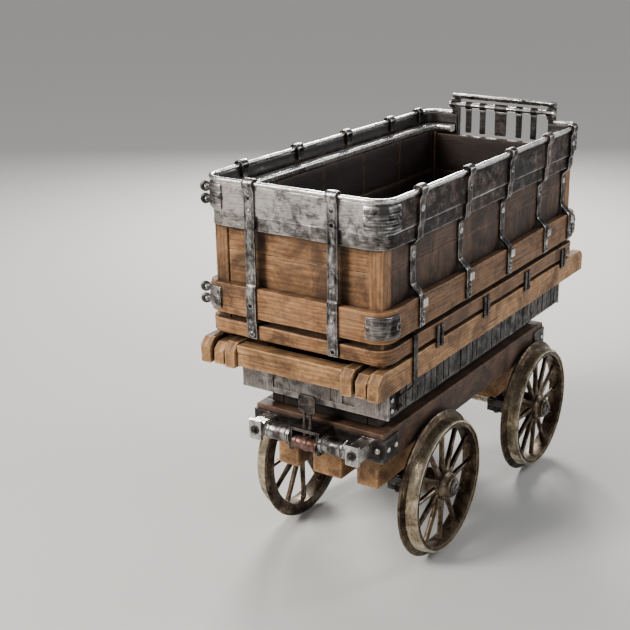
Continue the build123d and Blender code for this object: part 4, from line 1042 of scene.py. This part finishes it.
# ---------------------------------------------------------------- wheels
def wheel(shape_metal, shape_tread, node):
    """Flanged wheel with a grooved rim, tapered spokes and a stepped hub."""
    low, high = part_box(node)
    sign = 1 if (low.x + high.x) > 0 else -1
    centre = centre_at(low, high)
    flange_r = (high.z - low.z) / 2
    tread_r = flange_r - FLANGE_HEIGHT
    hub_in = min(abs(low.x), abs(high.x))
    hub_out = max(abs(low.x), abs(high.x))
    face = hub_out - HUB_PROUD
    flange_in = hub_in + FLANGE_INSET
    flange_out = flange_in + FLANGE_THICKNESS
    inner_r = tread_r - RIM_DEPTH
    axis = Vector((sign, 0, 0))
    rim = [
        (flange_in + 0.010, inner_r), (flange_in + 0.002, inner_r + 0.002),
        (flange_in, inner_r + 0.012), (flange_in, flange_r - 0.012),
        (flange_in + 0.003, flange_r - 0.003), (flange_in + 0.008, flange_r),
        (flange_out - 0.006, flange_r - 0.001), (flange_out - 0.001, flange_r - 0.008),
        (flange_out + 0.002, tread_r + 0.010), (flange_out + 0.007, tread_r + 0.002),
    ]
    tread = [
        (flange_out + 0.007, tread_r + 0.002), (flange_out + 0.014, tread_r),
        (face - 0.014, tread_r - 0.0015), (face - 0.006, tread_r - 0.003),
        (face - 0.001, tread_r - 0.006), (face, tread_r - 0.009),
        (face - 0.001, tread_r - 0.012),
    ]
    back = [
        (face - 0.001, tread_r - 0.012), (face - 0.005, tread_r - 0.014),
        (face - 0.006, tread_r - 0.021), (face - 0.002, tread_r - 0.024),
        (face - 0.003, inner_r + 0.001), (face - 0.010, inner_r - 0.002),
        (flange_in + 0.030, inner_r - 0.003), (flange_in + 0.010, inner_r),
    ]
    for shape, outline in ((shape_metal, rim), (shape_tread, tread), (shape_metal, back)):
        lathe(shape, centre, axis, outline, 120, rough=0.0006)
    hub = rounded_outline([
        (hub_in, 0.0), (hub_in, 0.044), (hub_in + 0.004, 0.049), (hub_in + 0.030, 0.051),
        (hub_in + 0.040, 0.056), (face - 0.014, 0.056), (face - 0.006, 0.050),
        (face - 0.004, 0.044), (hub_out - 0.006, 0.040), (hub_out, 0.036), (hub_out, 0.0),
    ], 0.0012)
    lathe(shape_metal, centre, axis, hub, 64, rough=0.0006)
    middle_x = (flange_in + face) / 2
    stations = 14
    reach = inner_r + 0.004 - HUB_RADIUS
    profile = rounded_profile(0.018, 0.017, 0.0065, 3, 1)

    def taper(k):
        t = k / stations
        flare = 0.55 * math.exp(-t * 9) + 0.45 * math.exp(-(1 - t) * 12)
        return 1.0 + 0.2 * (1 - t) + flare * 0.5, 1.0 - 0.22 * t + flare

    for index in range(SPOKES):
        angle = 2 * math.pi * index / SPOKES
        out = Vector((0, math.cos(angle), math.sin(angle)))
        across = Vector((0, -math.sin(angle), math.cos(angle))) * sign
        frames = []
        for k in range(stations + 1):
            radius = HUB_RADIUS + reach * k / stations
            lean = -0.006 * (k / stations)
            frames.append((centre + out * radius + axis * (middle_x + lean), axis, across, radius))
        sweep(shape_metal, frames, profile, rough=0.0007, scale=taper, seed=index * 3.1)
    for index in range(HUB_STUDS):
        angle = 2 * math.pi * (index + 0.5) / HUB_STUDS
        spot = centre + Vector((sign * (face - 0.006), HUB_STUD_RING * math.cos(angle),
                                HUB_STUD_RING * math.sin(angle)))
        dome(shape_metal, spot, axis, 0.0045, 0.004)


def make_wheels():
    for node in ("wheel_front_left", "wheel_front_right", "wheel_rear_left", "wheel_rear_right"):
        metal, tread = Shape(), Shape()
        wheel(metal, tread, node)
        body = metal.build(node.replace("wheel", "spoked_wheel"), WHEEL)
        running = tread.build(node.replace("wheel", "tread"), TREAD)
        stand_for(body, node)
        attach(running, frame["nodes"][node]["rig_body"])


def make_axles():
    for node in ("front_axle", "rear_axle"):
        low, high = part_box(node)
        radius = (high.z - low.z) / 2
        half = high.x
        seat = half - AXLE_SEAT_LENGTH
        outline = rounded_outline([
            (-half, 0.0), (-half, AXLE_SEAT_RADIUS), (-seat, AXLE_SEAT_RADIUS), (-seat, radius),
            (-seat + 0.012, radius), (-seat + 0.014, radius - 0.0015), (-0.014, radius - 0.0015),
            (-0.010, radius), (0.010, radius), (0.014, radius - 0.0015),
            (seat - 0.014, radius - 0.0015), (seat - 0.012, radius), (seat, radius),
            (seat, AXLE_SEAT_RADIUS), (half, AXLE_SEAT_RADIUS), (half, 0.0),
        ])
        shape = Shape()
        lathe(shape, centre_at(low, high), ACROSS, outline, 64, rough=0.0005)
        stand_for(shape.build(node + "_bar", TREAD), node)


def make_hub_caps():
    for node in ("front_hub_caps", "rear_hub_caps"):
        shape = Shape()
        for low, high in solids(node):
            sign = 1 if low.x > 0 else -1
            centre = centre_at(low, high, low.x if sign > 0 else high.x)
            axis = ACROSS * sign
            depth = high.x - low.x
            outline = rounded_outline([
                (0.0, 0.0), (0.0, 0.031), (depth * 0.30, 0.031), (depth * 0.36, 0.026),
                (depth * 0.55, 0.024), (depth * 0.58, 0.013), (depth * 0.86, 0.012),
                (depth, 0.008), (depth, 0.0),
            ], 0.0012)
            lathe(shape, centre, axis, outline, 40, rough=0.0004)
            nut = [(depth * 0.50, 0.0), (depth * 0.50, 0.0175), (depth * 0.80, 0.0175),
                   (depth * 0.86, 0.0150), (depth * 0.86, 0.0)]
            lathe(shape, centre, axis, nut, 6)
        stand_for(shape.build(node.replace("caps", "nuts"), IRON), node)


# ---------------------------------------------------------------- steel box
def make_box_sides():
    """Side plates with uneven upright battens, as on old riveted stock."""
    shape = Shape()
    for low, high in solids("box_side_plates"):
        sign = 1 if low.x > 0 else -1
        plate_low, plate_high = low.copy(), high.copy()
        if sign > 0:
            plate_high.x -= BATTEN_SEAT
        else:
            plate_low.x += BATTEN_SEAT
        board(shape, plate_low, plate_high, 0.0015, 0.03, 0.0008, 0.3, axis=1)
        y = low.y + 0.004
        while y < high.y - 0.03:
            end_piece = y < low.y + 0.05 or y > high.y - 0.075
            width = 0.062 if end_piece else random.uniform(0.026, 0.044)
            width = min(width, high.y - 0.002 - y)
            proud = random.uniform(0.003, 0.0062)
            inner = (high.x if sign > 0 else low.x) - sign * (BATTEN_SEAT + BATTEN_BITE)
            outer = inner + sign * (proud + BATTEN_BITE)
            bottom = low.z + random.uniform(0.002, 0.007)
            top = high.z - random.uniform(0.002, 0.006)
            board(shape, Vector((min(inner, outer), y, bottom)),
                  Vector((max(inner, outer), y + width, top)), 0.0022, 0.012, 0.0008,
                  random.uniform(0.2, 0.9), axis=2)
            y += width + random.uniform(0.003, 0.010)
    stand_for(shape.build("box_side_battens", SHADED_BATTEN), "box_side_plates")


def make_bumper():
    shape = Shape()
    for low, high in solids("bumper_bars"):
        length = high.x - low.x
        collar, groove = BUMPER_RADIUS + 0.004, BUMPER_RADIUS - 0.003
        outline = [(0, 0), (0, BUMPER_RADIUS + 0.003), (0.010, collar), (0.011, groove),
                   (0.017, groove), (0.018, BUMPER_RADIUS),
                   (length * 0.45, BUMPER_RADIUS + 0.0012), (length - 0.030, BUMPER_RADIUS),
                   (length - 0.028, collar), (length - 0.018, collar), (length - 0.016, groove),
                   (length, groove), (length, 0)]
        if low.x < 0:
            outline = [(length - along, r) for along, r in outline][::-1]
        lathe(shape, centre_at(low, high, low.x), ACROSS, rounded_outline(outline, 0.001), 48,
              rough=0.0006)
    stand_for(shape.build("bumper_rollers", STRAP), "bumper_bars")
    shape = Shape()
    for low, high in solids("bumper_bolts"):
        seat, normal, radius, height = facing(low, high)
        ring = rounded_outline([(0, radius * 0.62), (0, radius), (height * 0.42, radius),
                                (height * 0.46, radius * 0.80), (height * 0.2, radius * 0.70),
                                (height * 0.2, radius * 0.62)], 0.0006)
        lathe(shape, seat, normal, ring, 40)
        lathe(shape, seat, normal, rounded_outline(
            [(0, 0), (0, radius * 0.6), (height * 0.75, radius * 0.56), (height, radius * 0.35),
             (height, 0)], 0.001), 32, rough=0.0004)
    stand_for(shape.build("bumper_ring_bolts", IRON), "bumper_bolts")
    keep_cad("bumper_end_blocks", BRIGHT, 0.004)
    keep_cad("coupling_head", IRON, 0.004)
    keep_cad("coupling_pin", IRON, 0.0015)


def make_drum():
    low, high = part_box("coupling_drum")
    half = (high.x - low.x) / 2
    r = (high.z - low.z) / 2
    outline = [(-half, 0.0126), (-half, r), (-half + 0.012, r), (-half + 0.014, r - 0.004),
               (-0.008, r - 0.004), (-0.006, r), (0.006, r), (0.008, r - 0.004),
               (half - 0.014, r - 0.004), (half - 0.012, r), (half, r), (half, 0.0126),
               (-half, 0.0126)]
    shape = Shape()
    lathe(shape, centre_at(low, high, (low.x + high.x) / 2), ACROSS,
          rounded_outline(outline, 0.001), 56, rough=0.0004)
    stand_for(shape.build("drum_roller", DRUM), "coupling_drum")


# ---------------------------------------------------------------- gate
def make_gate():
    low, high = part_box("gate_rod")
    centre = centre_at(low, high)
    half = high.x
    r = GATE_ROD_RADIUS
    outline = [(-half, 0), (-half, r - 0.001), (-half + 0.004, r), (-half + 0.008, r),
               (-half + 0.008, r + 0.004), (-half + 0.016, r + 0.004), (-half + 0.017, r),
               (half - 0.017, r), (half - 0.016, r + 0.004), (half - 0.008, r + 0.004),
               (half - 0.008, r), (half - 0.004, r), (half, r - 0.001), (half, 0)]
    shape = Shape()
    lathe(shape, centre, ACROSS, rounded_outline(outline, 0.0008), 32, rough=0.0003)
    stand_for(shape.build("gate_hinge_rod", BRIGHT), "gate_rod")
    shape = Shape()
    for low, high in solids("gate_slats"):
        width = high.x - low.x
        board(shape, Vector((low.x, centre.y - SLAT_HALF_THICKNESS, low.z)),
              Vector((high.x, centre.y + SLAT_HALF_THICKNESS, centre.z - 0.012)), 0.0028, 0.010,
              0.0007, 0.5, axis=2)
        ring = [(0, 0.0112), (0, 0.0158), (width, 0.0158), (width, 0.0112), (0, 0.0112)]
        lathe(shape, Vector((low.x, centre.y, centre.z)), ACROSS, rounded_outline(ring, 0.001), 32)
    stand_for(shape.build("gate_bars", IRON), "gate_slats")
    shape = Shape()
    low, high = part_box("gate_head_rail")
    board(shape, low, high, 0.006, 0.014, 0.0022, 0.5)
    stand_for(shape.build("gate_top_rail", STRAP), "gate_head_rail")
    keep_cad("gate_posts", IRON, 0.003)


def make_plain_nodes():
    for node, material, bevel in (
        ("box_front_plate", PLATE, 0.003), ("box_inset_panel", PLATE, 0.0015),
        ("box_rear_plate", PLATE, 0.003), ("box_floor_plate", PLATE, 0.002),
        ("headstock_plates", IRON, 0.002), ("hold_down_irons", IRON, 0.002),
        ("bearing_housings", IRON, 0.003), ("bearing_keeps", IRON, 0.003),
        ("bearing_bushes", TREAD, 0.0008), ("bearing_bolts", IRON, 0.0012),
    ):
        keep_cad(node, material, bevel)


# ---------------------------------------------------------------- stage
def make_stage():
    floor_shape = Shape()
    for x, y in ((-250, -250), (250, -250), (250, 250), (-250, 250)):
        floor_shape.add(Vector((x, y, 0)), (0, 0, 0), 0.5)
    floor_shape.faces.append((0, 1, 2, 3))
    n = Nodes("pale_floor")
    n.shader.inputs["Base Color"].default_value = (0.56, 0.55, 0.53, 1)
    n.shader.inputs["Roughness"].default_value = 0.85
    floor = floor_shape.build("studio_floor", n.material)
    world = bpy.data.worlds.new("studio_world")
    world.use_nodes = True
    world.node_tree.nodes["Background"].inputs[0].default_value = (0.80, 0.82, 0.85, 1)
    world.node_tree.nodes["Background"].inputs[1].default_value = 0.30
    bpy.context.scene.world = world
    for name, place, size, power, colour in (
        ("key", (-2.2, -4.6, 3.6), 1.6, 330, (1.0, 0.96, 0.90)),
        ("right", (4.8, -1.0, 2.4), 2.4, 60, (0.92, 0.96, 1.0)),
        ("rim", (-3.0, 4.6, 3.4), 1.8, 520, (1.0, 0.98, 0.95)),
        ("rear_right", (3.6, 3.8, 3.2), 1.8, 120, (0.95, 0.97, 1.0)),
    ):
        light = bpy.data.lights.new(name, "AREA")
        light.shape = "SQUARE"
        light.size = size
        light.energy = power
        light.color = colour
        obj = bpy.data.objects.new(name, light)
        bpy.context.scene.collection.objects.link(obj)
        obj.location = place
        aim = Vector((0, 0, 0.75)) - Vector(place)
        obj.rotation_euler = aim.to_track_quat("-Z", "Y").to_euler()
    sun = bpy.data.lights.new("sky_softbox", "SUN")
    sun.energy = 1.3
    sun.angle = math.radians(20)
    sun.color = (1.0, 0.98, 0.95)
    overhead = bpy.data.objects.new("sky_softbox", sun)
    bpy.context.scene.collection.objects.link(overhead)
    overhead.rotation_euler = Vector((0.35, 0.75, -1.0)).to_track_quat("-Z", "Y").to_euler()


def make_camera():
    azimuth, elevation = math.radians(31.5), math.radians(19.2)
    back = Vector((math.sin(azimuth) * math.cos(elevation),
                   -math.cos(azimuth) * math.cos(elevation), math.sin(elevation)))
    data = bpy.data.cameras.new("camera")
    data.sensor_width = 36
    data.lens = 67.0
    data.shift_x = -0.087
    data.shift_y = -0.008
    camera = bpy.data.objects.new("camera", data)
    bpy.context.scene.collection.objects.link(camera)
    camera.location = (2.102, -3.749, 2.296)
    camera.rotation_euler = (-back).to_track_quat("-Z", "Y").to_euler()
    bpy.context.scene.camera = camera


make_camera()
make_stage()
make_timbers()
make_belts()
make_bands()
make_side_straps()
make_front_straps()
make_heads()
make_fittings()
make_wheels()
make_axles()
make_hub_caps()
make_box_sides()
make_bumper()
make_drum()
make_gate()
make_plain_nodes()
